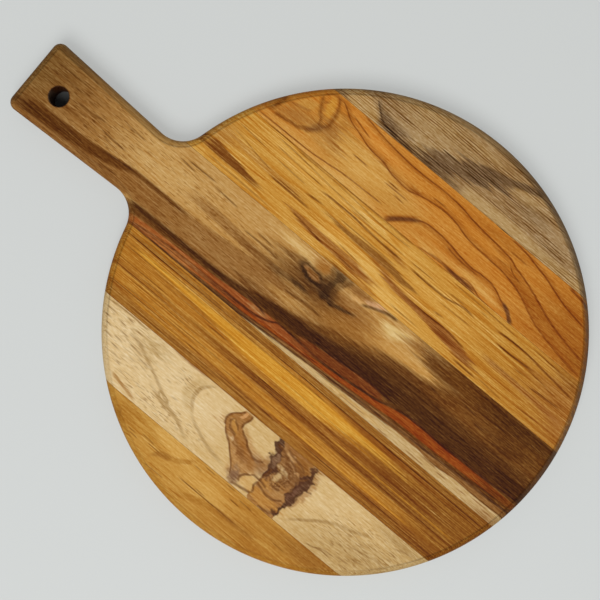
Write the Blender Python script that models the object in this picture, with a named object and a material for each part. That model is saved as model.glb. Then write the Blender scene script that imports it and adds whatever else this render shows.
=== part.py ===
"""Round paddle cutting board, glued up from straight-grained staves.

One blank of the whole board is lofted from its outline, with both rims rounded over. It is then
ripped along its glue lines, as the real panel is put together: each stave and each film of glue
is the slice of the blank between two planes. The wide middle stave runs on into the handle.

Metres. The origin is the centre of the round part on the underside, +X runs along the handle,
+Y is on the left looking towards the handle's end, and +Z is up, through the board.
"""

from math import atan2, cos, hypot, pi, sin, sqrt

import bmesh
import bpy

# The round part and the panel
BOARD_DIAMETER = 0.3048
BOARD_LENGTH = 0.4064
BOARD_THICKNESS = 0.019
EDGE_ROUND = 0.0052

# The handle, symmetrical about +X and wider at its end than at its neck
HANDLE_NECK_WIDTH = 0.043
HANDLE_END_WIDTH = 0.052
HANDLE_FACE_CORNER = 0.0003
NECK_FILLET = 0.020

# The hanging hole
HOLE_DIAMETER = 0.0127
HOLE_FROM_END = 0.0235
HOLE_OFFSET = 0.0016
HOLE_EASE = 0.0004

# The staves: spare wood beside the handle's widest place, then staves of one width out to the rim
SPARE_LEFT = 0.0076
SPARE_RIGHT = 0.0012
STAVE_WIDTH = 0.042
NARROWEST_STAVE = 0.010
GLUE_LINE = 0.0002

# How finely the curves are cut
RIM_STEPS = 116
FILLET_STEPS = 12
CORNER_STEPS = 6
EDGE_STEPS = 5
HOLE_SIDES = 32

# Colours, each side's staves from the middle outwards
HANDLE_WOOD = (0.23, 0.10, 0.03)
LEFT_WOODS = [(0.35, 0.15, 0.025), (0.50, 0.32, 0.14), (0.45, 0.22, 0.04)]
RIGHT_WOODS = [(0.46, 0.21, 0.04), (0.44, 0.18, 0.03), (0.28, 0.17, 0.07)]
GLUE_COLOUR = (0.12, 0.065, 0.025)
WOOD_ROUGHNESS = 0.5
GLUE_ROUGHNESS = 0.6

RADIUS = BOARD_DIAMETER / 2
HANDLE_END = BOARD_LENGTH - RADIUS


def arc(centre, radius, start, end, steps):
    """Points along a circular arc, both ends included, in equal steps."""
    angles = [start + (end - start) * i / steps for i in range(steps + 1)]
    return [(centre[0] + radius * cos(a), centre[1] + radius * sin(a)) for a in angles]


def half_outline():
    """Where the arcs of the +Y half lie: the neck's fillet and the handle's end corner.

    The handle's side starts at the neck width, level with the rim's end, and leans out to the
    end width. The fillet touches that side and the round rim, and the corner touches that side
    and the handle's end.
    """
    rise = (HANDLE_END_WIDTH - HANDLE_NECK_WIDTH) / 2
    run = HANDLE_END - RADIUS
    along = (run / hypot(run, rise), rise / hypot(run, rise))
    outward = (-along[1], along[0])
    beside = (RADIUS + NECK_FILLET * outward[0], HANDLE_NECK_WIDTH / 2 + NECK_FILLET * outward[1])
    dot = beside[0] * along[0] + beside[1] * along[1]
    reach = (RADIUS + NECK_FILLET) ** 2 - beside[0] ** 2 - beside[1] ** 2
    slide = -dot + sqrt(dot * dot + reach)
    fillet = (beside[0] + slide * along[0], beside[1] + slide * along[1])
    corner_radius = HANDLE_FACE_CORNER + EDGE_ROUND
    corner_x = HANDLE_END - corner_radius
    lean = along[1] / along[0]
    corner_y = HANDLE_NECK_WIDTH / 2 + lean * (corner_x - RADIUS) - corner_radius / along[0]
    return fillet, (corner_x, corner_y), corner_radius, atan2(outward[1], outward[0])


def outline(inset):
    """The board's outline, anticlockwise from above, drawn in from the rim by inset."""
    fillet, corner, corner_radius, side_angle = half_outline()
    neck_angle = atan2(fillet[1], fillet[0])
    left = arc(corner, corner_radius - inset, 0, side_angle, CORNER_STEPS)
    left += arc(fillet, NECK_FILLET + inset, side_angle - pi, neck_angle - pi, FILLET_STEPS)
    rim = arc((0, 0), RADIUS - inset, neck_angle, 2 * pi - neck_angle, RIM_STEPS)
    right = [(x, -y) for x, y in reversed(left)]
    return left + rim[1:-1] + right


def circle(centre, radius):
    """A closed ring of points, anticlockwise from above."""
    turns = [2 * pi * i / HOLE_SIDES for i in range(HOLE_SIDES)]
    return [(centre[0] + radius * cos(a), centre[1] + radius * sin(a)) for a in turns]


def loft(sections):
    """A closed solid through a stack of (height, ring of points), lowest first."""
    solid = bmesh.new()
    rings = [[solid.verts.new((x, y, z)) for x, y in ring] for z, ring in sections]
    solid.faces.new(rings[0][::-1])
    solid.faces.new(rings[-1])
    for lower, upper in zip(rings, rings[1:]):
        for i in range(len(lower)):
            j = (i + 1) % len(lower)
            solid.faces.new((lower[i], lower[j], upper[j], upper[i]))
    return solid


def board_blank():
    """The whole board as one solid, with a quarter round on its top and bottom rims."""
    turns = [pi / 2 * i / EDGE_STEPS for i in range(EDGE_STEPS + 1)]
    lower = [(EDGE_ROUND * (1 - cos(a)), outline(EDGE_ROUND * (1 - sin(a)))) for a in turns]
    upper = [(BOARD_THICKNESS - z, ring) for z, ring in reversed(lower)]
    return loft(lower + upper)


def cut_at(solid, y, side):
    """Cuts the solid at the plane of that Y and keeps what lies on the given side, +1 or -1."""
    everything = solid.verts[:] + solid.edges[:] + solid.faces[:]
    cut = bmesh.ops.bisect_plane(
        solid, geom=everything, plane_co=(0, y, 0), plane_no=(0, -side, 0), clear_outer=True
    )
    rim = [e for e in cut["geom_cut"] if isinstance(e, bmesh.types.BMEdge)]
    for edge in rim:
        for vert in edge.verts:
            vert.co.y = y
    bmesh.ops.edgeloop_fill(solid, edges=rim)


def slice_of(blank, low, high):
    """A copy of the blank between two planes. None leaves that side as the rim makes it."""
    piece = blank.copy()
    if low is not None:
        cut_at(piece, low, 1)
    if high is not None:
        cut_at(piece, high, -1)
    bmesh.ops.recalc_face_normals(piece, faces=piece.faces)
    return piece


def material(name, colour, roughness):
    """A Principled material of one colour."""
    made = bpy.data.materials.new(name)
    made.use_nodes = True
    shader = made.node_tree.nodes["Principled BSDF"]
    shader.inputs["Base Color"].default_value = (*colour, 1)
    shader.inputs["Roughness"].default_value = roughness
    shader.inputs["Metallic"].default_value = 0
    return made


def place(name, solid, parent, finish=None):
    """Turns a bmesh into a named object under the parent empty."""
    mesh = bpy.data.meshes.new(name)
    solid.to_mesh(mesh)
    solid.free()
    mesh.shade_smooth()
    mesh.set_sharp_from_angle(angle=pi / 6)
    piece = bpy.data.objects.new(name, mesh)
    piece.parent = parent
    bpy.context.scene.collection.objects.link(piece)
    if finish:
        mesh.materials.append(finish)
    return piece


def rip_side(blank, board, side_name, side, first_joint, woods):
    """Staves of one width, each behind its film of glue, from the middle stave out to the rim.

    The last stave runs to the rim, so no strip narrower than NARROWEST_STAVE is left outside it.
    """
    inner = first_joint
    count = 0
    while inner is not None:
        outer = inner + GLUE_LINE + STAVE_WIDTH
        if RADIUS - outer < NARROWEST_STAVE:
            outer = None
        planes = [inner, inner + GLUE_LINE, outer]
        planes = [p if p is None else side * p for p in planes]
        glue = planes[:2][::side]
        stave = planes[1:][::side]
        colour = woods[count % len(woods)]
        count += 1
        wood = material(f"{side_name}_wood_{count}", colour, WOOD_ROUGHNESS)
        film = material(f"{side_name}_glue_{count}", GLUE_COLOUR, GLUE_ROUGHNESS)
        place(f"{side_name}_glue_line_{count}", slice_of(blank, *glue), board, film)
        place(f"{side_name}_stave_{count}", slice_of(blank, *stave), board, wood)
        inner = outer


def bore_hanging_hole(stave, board):
    """Drills the hole through the handle, with both its mouths eased."""
    centre = (HANDLE_END - HOLE_FROM_END, HOLE_OFFSET)
    radius = HOLE_DIAMETER / 2
    past = HOLE_DIAMETER / 4
    bore = circle(centre, radius)
    mouth = circle(centre, radius + HOLE_EASE + past)
    heights = [-past, HOLE_EASE, BOARD_THICKNESS - HOLE_EASE, BOARD_THICKNESS + past]
    drill = place("hanging_hole_drill", loft(list(zip(heights, [mouth, bore, bore, mouth]))), board)
    drill.hide_render = True
    drill.display_type = "WIRE"
    cut = stave.modifiers.new("hanging_hole", "BOOLEAN")
    cut.operation = "DIFFERENCE"
    cut.solver = "EXACT"
    cut.object = drill


def main():
    for old in list(bpy.data.objects):
        bpy.data.objects.remove(old)
    board = bpy.data.objects.new("cutting_board", None)
    bpy.context.scene.collection.objects.link(board)
    blank = board_blank()

    half_end = HANDLE_END_WIDTH / 2
    left_joint = half_end + SPARE_LEFT
    right_joint = half_end + SPARE_RIGHT
    wood = material("handle_wood", HANDLE_WOOD, WOOD_ROUGHNESS)
    middle = slice_of(blank, -right_joint, left_joint)
    stave = place("handle_stave", middle, board, wood)
    bore_hanging_hole(stave, board)
    rip_side(blank, board, "left", 1, left_joint, LEFT_WOODS)
    rip_side(blank, board, "right", -1, right_joint, RIGHT_WOODS)
    blank.free()


main()
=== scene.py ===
# %% [markdown]
# # A round cutting board with a handle
# The board is a panel of seven hardwood staves, edge-glued side by side, sawn round, rounded over
# along both rims and rubbed with oil. The wide middle stave runs on into the handle. This lesson
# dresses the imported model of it: the same staves, cut finer, each with the figure of its own wood.

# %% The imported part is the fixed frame
from math import atan2, cos, hypot, pi, sin, sqrt

import bmesh
import bpy
from mathutils import Matrix, Vector


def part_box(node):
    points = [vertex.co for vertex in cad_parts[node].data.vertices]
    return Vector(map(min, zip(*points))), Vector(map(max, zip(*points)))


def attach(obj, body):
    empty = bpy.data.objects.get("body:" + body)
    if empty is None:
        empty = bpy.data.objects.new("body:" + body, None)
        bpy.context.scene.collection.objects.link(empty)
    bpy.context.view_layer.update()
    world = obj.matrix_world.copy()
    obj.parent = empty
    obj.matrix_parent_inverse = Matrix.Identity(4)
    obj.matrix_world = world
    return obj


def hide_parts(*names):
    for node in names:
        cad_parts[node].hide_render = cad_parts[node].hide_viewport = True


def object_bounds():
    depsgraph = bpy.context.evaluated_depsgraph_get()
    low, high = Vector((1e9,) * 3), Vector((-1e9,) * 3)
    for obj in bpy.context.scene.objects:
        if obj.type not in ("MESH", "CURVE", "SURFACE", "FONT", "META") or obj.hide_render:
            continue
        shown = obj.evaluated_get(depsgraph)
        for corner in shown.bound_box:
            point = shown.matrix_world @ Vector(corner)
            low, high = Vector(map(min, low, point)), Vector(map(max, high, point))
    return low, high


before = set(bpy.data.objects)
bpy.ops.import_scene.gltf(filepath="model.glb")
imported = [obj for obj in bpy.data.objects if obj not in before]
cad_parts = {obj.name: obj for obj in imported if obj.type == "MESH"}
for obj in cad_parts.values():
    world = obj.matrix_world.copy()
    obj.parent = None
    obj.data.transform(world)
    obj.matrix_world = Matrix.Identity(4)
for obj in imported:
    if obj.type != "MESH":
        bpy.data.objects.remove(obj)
cad_low, cad_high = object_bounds()
MM = 0.001
RADIUS = -cad_low.x
HANDLE_END = cad_high.x
THICKNESS = cad_high.z


def put(name, data):
    """A new object in the scene."""
    thing = bpy.data.objects.new(name, data)
    bpy.context.scene.collection.objects.link(thing)
    return thing


print("board", [round(side / MM, 1) for side in cad_high - cad_low], "mm, nodes", len(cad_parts))

# %% [markdown]
# ## Camera
# The board is seen from straight above, through a lens a little longer than a normal one. Three
# things fix such a view: where the camera is, the point it looks at, and which way is up in the
# picture. A rotation made from three axes says the last two without any angles.

# %% Camera
PICTURE_SIDE = 600
FOCAL_PIXELS = 1120
SENSOR = 36
EYE = Vector((0.0365, -0.0032, 0.7145))
AIM = Vector((0.0347, 0.0024, THICKNESS))
PICTURE_UP = Vector((0.6415, -0.7671, 0))

lens = bpy.data.cameras.new("camera")
lens.sensor_width = SENSOR
lens.lens = FOCAL_PIXELS / PICTURE_SIDE * SENSOR
camera = put("camera", lens)
backward = (EYE - AIM).normalized()
rightward = PICTURE_UP.cross(backward).normalized()
upward = backward.cross(rightward)
turned = Matrix((rightward, upward, backward)).transposed().to_4x4()
camera.matrix_world = Matrix.Translation(EYE) @ turned
bpy.context.scene.camera = camera
print("lens", lens.lens, "mm")

# %% [markdown]
# ## The blank
# The maker glues the panel first and saws the outline afterwards, so one blank is the natural
# start. Its outline is a round rim, two fillets into the handle and two tight corners, all arcs.
# The rims are rounded over with a quarter-round cutter, so the blank is a stack of outlines that
# are drawn in towards both faces.

# %% The outline
EDGE_ROUND = 5.2 * MM
NECK_WIDTH = 43 * MM
END_WIDTH = 52 * MM
CORNER_RADIUS = 5.5 * MM
NECK_FILLET = 20 * MM
RIM_STEPS = 360
FILLET_STEPS = 24
CORNER_STEPS = 12
EDGE_STEPS = 10


def arc(centre, radius, start, end, steps):
    """Points along a circular arc, both ends included, in equal steps."""
    angles = [start + (end - start) * i / steps for i in range(steps + 1)]
    return [(centre[0] + radius * cos(a), centre[1] + radius * sin(a)) for a in angles]


def half_outline():
    """The neck's fillet centre, the end corner's centre and the handle side's outward angle."""
    rise = (END_WIDTH - NECK_WIDTH) / 2
    run = HANDLE_END - RADIUS
    along = (run / hypot(run, rise), rise / hypot(run, rise))
    outward = (-along[1], along[0])
    beside = (RADIUS + NECK_FILLET * outward[0], NECK_WIDTH / 2 + NECK_FILLET * outward[1])
    dot = beside[0] * along[0] + beside[1] * along[1]
    reach = (RADIUS + NECK_FILLET) ** 2 - beside[0] ** 2 - beside[1] ** 2
    slide = -dot + sqrt(dot * dot + reach)
    fillet = (beside[0] + slide * along[0], beside[1] + slide * along[1])
    corner_x = HANDLE_END - CORNER_RADIUS
    side_y = NECK_WIDTH / 2 + along[1] / along[0] * (corner_x - RADIUS)
    return fillet, (corner_x, side_y - CORNER_RADIUS / along[0]), atan2(outward[1], outward[0])


def outline(inset):
    """The board's outline, anticlockwise from above, drawn in from the rim by inset."""
    fillet, corner, side_angle = half_outline()
    neck_angle = atan2(fillet[1], fillet[0])
    left = arc(corner, CORNER_RADIUS - inset, 0, side_angle, CORNER_STEPS)
    left += arc(fillet, NECK_FILLET + inset, side_angle - pi, neck_angle - pi, FILLET_STEPS)
    rim = arc((0, 0), RADIUS - inset, neck_angle, 2 * pi - neck_angle, RIM_STEPS)
    right = [(x, -y) for x, y in reversed(left)]
    return left + rim[1:-1] + right


def loft(name, sections):
    """A closed solid through a stack of (height, ring of points), lowest first."""
    solid = bmesh.new()
    rings = [[solid.verts.new((x, y, z)) for x, y in ring] for z, ring in sections]
    solid.faces.new(rings[0][::-1])
    solid.faces.new(rings[-1])
    for lower, upper in zip(rings, rings[1:]):
        for i in range(len(lower)):
            j = (i + 1) % len(lower)
            solid.faces.new((lower[i], lower[j], upper[j], upper[i]))
    mesh = bpy.data.meshes.new(name)
    solid.to_mesh(mesh)
    solid.free()
    return mesh


turns = [pi / 2 * i / EDGE_STEPS for i in range(EDGE_STEPS + 1)]
lower_half = [(EDGE_ROUND * (1 - cos(a)), outline(EDGE_ROUND * (1 - sin(a)))) for a in turns]
upper_half = [(THICKNESS - z, ring) for z, ring in reversed(lower_half)]
blank = loft("blank", lower_half + upper_half)
print("blank:", len(blank.polygons), "faces")

# %% [markdown]
# ## Node helpers
# Everything below is built from nodes, in Geometry Nodes for the shapes and in shader trees for
# the wood. A few helpers keep that readable: one adds a node and feeds its sockets, and the
# others are the sums and mixes that come up again and again.

# %% Node helpers
COLUMN = 190
ROW = 170
ROWS = 9
NUMBER = "NodeSocketFloat"
ARROW = "NodeSocketVector"
GIVE_NUMBERS = ("LENGTH", "DISTANCE", "DOT_PRODUCT")


def feed(tree, socket, value):
    """Links a socket to another node's output, or sets its value."""
    if isinstance(value, bpy.types.NodeSocket):
        tree.links.new(value, socket)
    else:
        socket.default_value = value


def add(tree, kind, settings=None, **sockets):
    """Adds a node, with settings for its properties and values or links for its named sockets."""
    node = tree.nodes.new(kind)
    count = len(tree.nodes)
    node.location = (count // ROWS * COLUMN, -(count % ROWS) * ROW)
    for name, value in (settings or {}).items():
        setattr(node, name, value)
    for name, value in sockets.items():
        feed(tree, node.inputs[name.replace("_", " ")], value)
    return node


def sum_of(tree, operation, *values):
    """One Math node."""
    node = add(tree, "ShaderNodeMath", {"operation": operation})
    for socket, value in zip(node.inputs, values):
        feed(tree, socket, value)
    return node.outputs[0]


def arrow_sum(tree, operation, vector, other=None):
    """One Vector Math node, for an arrow or for the number that it gives."""
    node = add(tree, "ShaderNodeVectorMath", {"operation": operation}, Vector=vector)
    if other is not None:
        feed(tree, node.inputs["Scale" if operation == "SCALE" else 1], other)
    return node.outputs["Value" if operation in GIVE_NUMBERS else "Vector"]


def join(tree, x, y, z):
    """Three numbers as an arrow."""
    return add(tree, "ShaderNodeCombineXYZ", X=x, Y=y, Z=z).outputs[0]


def split(tree, vector):
    """An arrow's three numbers, by name."""
    return add(tree, "ShaderNodeSeparateXYZ", Vector=vector).outputs


def ease(tree, value, low, high, start=0.0, end=1.0):
    """A smooth step from start to end as the value goes from low to high, level beyond."""
    node = add(tree, "ShaderNodeMapRange", {"interpolation_type": "SMOOTHSTEP", "clamp": False})
    for socket, setting in zip(node.inputs, (value, low, high, start, end)):
        feed(tree, socket, setting)
    return node.outputs[0]


def blend(tree, mask, below, above):
    """One colour over another."""
    node = add(tree, "ShaderNodeMix", {"data_type": "RGBA"})
    for index, value in ((0, mask), (6, below), (7, above)):
        feed(tree, node.inputs[index], value)
    return node.outputs[2]


def shader_mix(tree, share, first, second):
    """Two shaders, with this share of the second."""
    node = add(tree, "ShaderNodeMixShader", Fac=share)
    feed(tree, node.inputs[1], first)
    feed(tree, node.inputs[2], second)
    return node.outputs[0]


def new_tree(kind, name, inputs, outputs):
    """A node group with its sockets: (name, type, default) going in and (name, type) going out."""
    tree = bpy.data.node_groups.new(name, kind)
    for label, socket_type, default in inputs:
        socket = tree.interface.new_socket(label, in_out="INPUT", socket_type=socket_type)
        if default is not None:
            socket.default_value = default
    for label, socket_type in outputs:
        tree.interface.new_socket(label, in_out="OUTPUT", socket_type=socket_type)
    given = tree.nodes.new("NodeGroupInput").outputs
    result = tree.nodes.new("NodeGroupOutput").inputs
    return tree, given, result


print("helpers ready")

# %% [markdown]
# ## Ripping the blank into staves
# Every stave, and every film of glue, is the slice of the blank between two upright planes. That
# is a rule, so one Geometry Nodes tree makes all thirteen: a box between the two joints keeps its
# share of the blank, and a cutter, where a piece has one, is taken out of it. The two big faces
# are shaded flat, edges sharper than a limit stay crisp, and the rest is shaded smooth.

# %% The ripping tree
SHARP = 30 * pi / 180
LEVEL = 0.9999


def ripping_tree():
    tree, given, result = new_tree(
        "GeometryNodeTree",
        "rip_stave",
        [
            ("Blank", "NodeSocketGeometry", None),
            ("Low joint", NUMBER, 0.0),
            ("High joint", NUMBER, 0.0),
            ("Thickness", NUMBER, THICKNESS),
            ("Cutter", "NodeSocketObject", None),
            ("Crease angle", NUMBER, SHARP),
            ("Wood", "NodeSocketMaterial", None),
        ],
        [("Stave", "NodeSocketGeometry")],
    )
    width = sum_of(tree, "SUBTRACT", given["High joint"], given["Low joint"])
    joints = sum_of(tree, "ADD", given["High joint"], given["Low joint"])
    middle = sum_of(tree, "MULTIPLY", joints, 0.5)
    half_up = sum_of(tree, "MULTIPLY", given["Thickness"], 0.5)
    deep = sum_of(tree, "MULTIPLY", given["Thickness"], 2.0)
    size = join(tree, 1.0, width, deep)
    place = join(tree, 0.0, middle, half_up)
    box = add(tree, "GeometryNodeMeshCube", Size=size).outputs["Mesh"]
    kept = add(tree, "GeometryNodeTransform", Geometry=box, Translation=place).outputs["Geometry"]
    rip = add(tree, "GeometryNodeMeshBoolean", {"operation": "INTERSECT", "solver": "EXACT"})
    tree.links.new(given["Blank"], rip.inputs[1])
    tree.links.new(kept, rip.inputs[1])
    cutter = add(tree, "GeometryNodeObjectInfo", Object=given["Cutter"]).outputs["Geometry"]
    cut = add(tree, "GeometryNodeMeshBoolean", {"operation": "DIFFERENCE", "solver": "EXACT"})
    tree.links.new(rip.outputs["Mesh"], cut.inputs[0])
    tree.links.new(cutter, cut.inputs[1])
    facing = add(tree, "GeometryNodeInputNormal").outputs["Normal"]
    upness = sum_of(tree, "ABSOLUTE", split(tree, facing)["Z"])
    curved = add(tree, "FunctionNodeCompare", {"operation": "LESS_THAN"}, A=upness, B=LEVEL)
    angle = add(tree, "GeometryNodeInputMeshEdgeAngle").outputs["Unsigned Angle"]
    gentle = add(tree, "FunctionNodeCompare", {"operation": "LESS_THAN"}, A=angle, B=given["Crease angle"])
    faces = add(tree, "GeometryNodeSetShadeSmooth", {"domain": "FACE"}, Geometry=cut.outputs["Mesh"])
    feed(tree, faces.inputs["Shade Smooth"], curved.outputs[0])
    edges = add(tree, "GeometryNodeSetShadeSmooth", {"domain": "EDGE"}, Geometry=faces.outputs[0])
    feed(tree, edges.inputs["Shade Smooth"], gentle.outputs[0])
    real = add(tree, "GeometryNodeRealizeInstances", Geometry=edges.outputs[0]).outputs[0]
    dressed = add(tree, "GeometryNodeSetMaterial", Geometry=real, Material=given["Wood"]).outputs[0]
    tree.links.new(dressed, result["Stave"])
    return tree


RIP = ripping_tree()
print("tree", RIP.name, "with", len(RIP.nodes), "nodes")

# %% [markdown]
# ## The hanging hole and the open joint
# A half-inch hole is drilled through the handle and its mouths are eased with a twist of
# sandpaper. The cutter is the shape of the air in it: a round bar that flares at both faces. The
# outermost joint on the right has also opened a little, as glue lines do when a board dries, and
# the air in that crack is a thin wedge with pointed ends.

# %% The cutters
HOLE_CENTRE = (HANDLE_END - 23.5 * MM, 1.6 * MM)
HOLE_RADIUS = 6.35 * MM
HOLE_EASE = 0.4 * MM
HOLE_STEPS = 72
EASE_STEPS = 4
CRACK_ENDS = (-43 * MM, -27 * MM)
CRACK_WIDTH = 0.7 * MM
CRACK_DEPTH = 2.2 * MM
CRACK_STEPS = 12
ABOVE = 1 * MM


def hidden_cutter(name, sections):
    """An object that only the ripping tree uses."""
    cutter = put(name, loft(name, sections))
    cutter.hide_render = True
    return cutter


def hole_section(height, radius):
    return height, arc(HOLE_CENTRE, radius, 0, 2 * pi, HOLE_STEPS)[:-1]


def crack_section(height, width):
    """A ring pointed at both ends, round the joint, anticlockwise from above."""
    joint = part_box("right_glue_line_3")
    middle = (joint[0].y + joint[1].y) / 2
    start, end = CRACK_ENDS
    shares = [i / CRACK_STEPS for i in range(CRACK_STEPS + 1)]
    near = [(start + (end - start) * t, middle - width / 2 * sin(pi * t)) for t in shares]
    far = [(x, 2 * middle - y) for x, y in reversed(near[1:-1])]
    return height, near + far


flare = [pi / 2 * i / EASE_STEPS for i in range(EASE_STEPS + 1)]
mouth = [(HOLE_EASE * (1 - sin(a)), HOLE_RADIUS + HOLE_EASE * (1 - cos(a))) for a in reversed(flare)]
mouth = [(-HOLE_EASE, HOLE_RADIUS + HOLE_EASE)] + mouth
stack = [hole_section(z, r) for z, r in mouth]
stack += [hole_section(THICKNESS - z, r) for z, r in reversed(mouth)]
drill = hidden_cutter("hanging_hole_drill", stack)
crack_floor = crack_section(THICKNESS - CRACK_DEPTH, CRACK_WIDTH / 4)
crack = hidden_cutter("open_joint", [crack_floor, crack_section(THICKNESS + ABOVE, CRACK_WIDTH)])
print("hole", 2 * HOLE_RADIUS / MM, "mm across, crack", CRACK_DEPTH / MM, "mm deep")

# %% [markdown]
# ## Shared wood effects
# The figure of a stave is a solid thing: it goes on over the rim and through to the underside.
# So every pattern is a function of the point in the wood, read from Object coordinates. Six
# small node groups are shared by all the finishes. The first turns a point into grain space: along
# the grain, across it and below the cutting face. The growth layers lean in the plank, so the
# figure slides as the depth grows. The figure is drawn on a sheet a touch larger than the board,
# 1006 units to the metre, so a unit is as good as a millimetre.

# %% Grain space
DRAWN = 1006
DEPTH_ZERO = THICKNESS * DRAWN
SEED_STEP = 37.0
SLOW_NOISE = (0.022, 0.05, 0.05)
SLOW_PUSH = (8.0, 3.0)
STREAKY_NOISE = (0.03, 0.6, 0.5)
STREAKY_PUSH = (40.0, 2.5)
LUMPY_NOISE = (0.25, 0.25, 0.12)
LUMPY_PUSH = (4.0, 4.0)


def scaled(tree, vector, *factors):
    """A vector with its parts multiplied, for noise that is longer along the grain."""
    return arrow_sum(tree, "MULTIPLY", vector, factors)


def noise(tree, vector, detail=2.0, kind="Fac"):
    return add(tree, "ShaderNodeTexNoise", Vector=vector, Scale=1.0, Detail=detail).outputs[kind]


def swing(tree, value, reach):
    """Noise from 0 to 1 made a push of up to about half the reach either way."""
    return sum_of(tree, "MULTIPLY", sum_of(tree, "SUBTRACT", value, 0.5), reach)


def grain_space_tree():
    edges = [f"{edge} {way}" for edge in ("Smooth", "Feather", "Torn") for way in ("along", "across")]
    tree, given, result = new_tree(
        "ShaderNodeTree",
        "grain_space",
        [
            ("Position", ARROW, None),
            ("Lean along", NUMBER, 1.0),
            ("Lean across", NUMBER, 0.3),
            ("Wander", NUMBER, 1.0),
            ("Feather", NUMBER, 1.0),
            ("Tear", NUMBER, 1.0),
            ("Seed", NUMBER, 0.0),
        ],
        [(edge, NUMBER) for edge in edges] + [("Solid", ARROW)],
    )
    point = split(tree, scaled(tree, given["Position"], DRAWN, DRAWN, DRAWN))
    depth = sum_of(tree, "SUBTRACT", DEPTH_ZERO, point["Z"])
    back = sum_of(tree, "MULTIPLY", depth, given["Lean along"])
    aside = sum_of(tree, "MULTIPLY", depth, given["Lean across"])
    along = sum_of(tree, "SUBTRACT", point["X"], back)
    across = sum_of(tree, "SUBTRACT", point["Y"], aside)
    layer = sum_of(tree, "ADD", depth, sum_of(tree, "MULTIPLY", given["Seed"], SEED_STEP))
    solid = join(tree, along, across, layer)

    def pushed(start, pattern, amount, reach):
        """Two coordinates, each pushed by its own part of a coloured noise."""
        parts = split(tree, pattern)
        ends = []
        for value, part, far in zip(start, ("X", "Y"), reach):
            push = swing(tree, parts[part], sum_of(tree, "MULTIPLY", amount, far))
            ends.append(sum_of(tree, "ADD", value, push))
        return ends

    slow = noise(tree, scaled(tree, solid, *SLOW_NOISE), 1.0, "Color")
    smooth = pushed((along, across), slow, given["Wander"], SLOW_PUSH)
    streaky = noise(tree, scaled(tree, solid, *STREAKY_NOISE), 2.0, "Color")
    feather = pushed(smooth, streaky, given["Feather"], STREAKY_PUSH)
    lumpy = noise(tree, scaled(tree, solid, *LUMPY_NOISE), 4.0, "Color")
    torn = pushed(smooth, lumpy, given["Tear"], LUMPY_PUSH)
    for label, value in zip(edges, smooth + feather + torn):
        tree.links.new(value, result[label])
    tree.links.new(solid, result["Solid"])
    return tree


GRAIN_SPACE = grain_space_tree()
print(GRAIN_SPACE.name, len(GRAIN_SPACE.nodes), "nodes")

# %% [markdown]
# ## Streaks and patches
# Growth rings, mineral streaks and sapwood edges are all bands that follow a path along the
# grain. A Float Curve holds the path, from a few given points, and this group turns the
# distance from it into a mask with soft sides and faded ends, broken up by the fleck of the wood.
# Knots and cloudy spots are patches: a stretched round mask, or the ring at its rim.

# %% Streak and patch groups
FLECK_BREAKS = (0.46, 0.6)


def mask_tree(name, inputs, outputs):
    """A group of numbers that gives masks."""
    taken = [(label, NUMBER, 0.0) for label in inputs]
    return new_tree("ShaderNodeTree", name, taken, [(label, NUMBER) for label in outputs])


def streak_tree():
    sides = ("Along", "Across", "Path", "Half width", "Soft")
    ends = ("Start", "End", "Fade", "Fleck", "Broken", "Strength")
    tree, given, result = mask_tree("grain_streak", sides + ends, ["Mask"])
    gap = sum_of(tree, "ABSOLUTE", sum_of(tree, "SUBTRACT", given["Across"], given["Path"]))
    limit = sum_of(tree, "ADD", given["Half width"], given["Soft"])
    mask = ease(tree, gap, given["Half width"], limit, given["Strength"], 0.0)
    started = ease(tree, given["Along"], given["Start"], sum_of(tree, "ADD", given["Start"], given["Fade"]))
    fading = sum_of(tree, "SUBTRACT", given["End"], given["Fade"])
    ended = ease(tree, given["Along"], fading, given["End"], 1.0, 0.0)
    gone = sum_of(tree, "MULTIPLY", ease(tree, given["Fleck"], *FLECK_BREAKS), given["Broken"])
    for share in (started, ended, sum_of(tree, "SUBTRACT", 1.0, gone)):
        mask = sum_of(tree, "MULTIPLY", mask, share)
    tree.links.new(mask, result["Mask"])
    return tree


def patch_tree():
    places = ("Along", "Across", "Centre along", "Centre across")
    forms = ("Half length", "Half width", "Slope", "Soft", "Strength")
    tree, given, result = mask_tree("wood_patch", places + forms, ["Fill", "Rim"])
    ahead = sum_of(tree, "SUBTRACT", given["Along"], given["Centre along"])
    aside = sum_of(tree, "SUBTRACT", given["Across"], given["Centre across"])
    aside = sum_of(tree, "SUBTRACT", aside, sum_of(tree, "MULTIPLY", ahead, given["Slope"]))
    ahead = sum_of(tree, "DIVIDE", ahead, given["Half length"])
    aside = sum_of(tree, "DIVIDE", aside, given["Half width"])
    far = arrow_sum(tree, "LENGTH", join(tree, ahead, aside, 0.0))
    inner = sum_of(tree, "SUBTRACT", 1.0, given["Soft"])
    outer = sum_of(tree, "ADD", 1.0, given["Soft"])
    tree.links.new(ease(tree, far, inner, outer, given["Strength"], 0.0), result["Fill"])
    off_rim = sum_of(tree, "ABSOLUTE", sum_of(tree, "SUBTRACT", far, 1.0))
    tree.links.new(ease(tree, off_rim, 0.0, given["Soft"], given["Strength"], 0.0), result["Rim"])
    return tree


STREAK = streak_tree()
PATCH = patch_tree()
print(STREAK.name, len(STREAK.nodes), "nodes,", PATCH.name, len(PATCH.nodes), "nodes")

# %% [markdown]
# ## Fibres, pores and fine growth lines
# Close to, planed hardwood is made of fibres about a millimetre across and some centimetres long,
# with pores cut lengthwise into short dark dashes, and between the big rings run many fine ones.
# Noise stretched along the grain gives the fibres. A shorter noise, kept only at its peaks, gives
# the pores, and a sawtooth across the grain, bent by slow noise, gives the growth lines.

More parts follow.
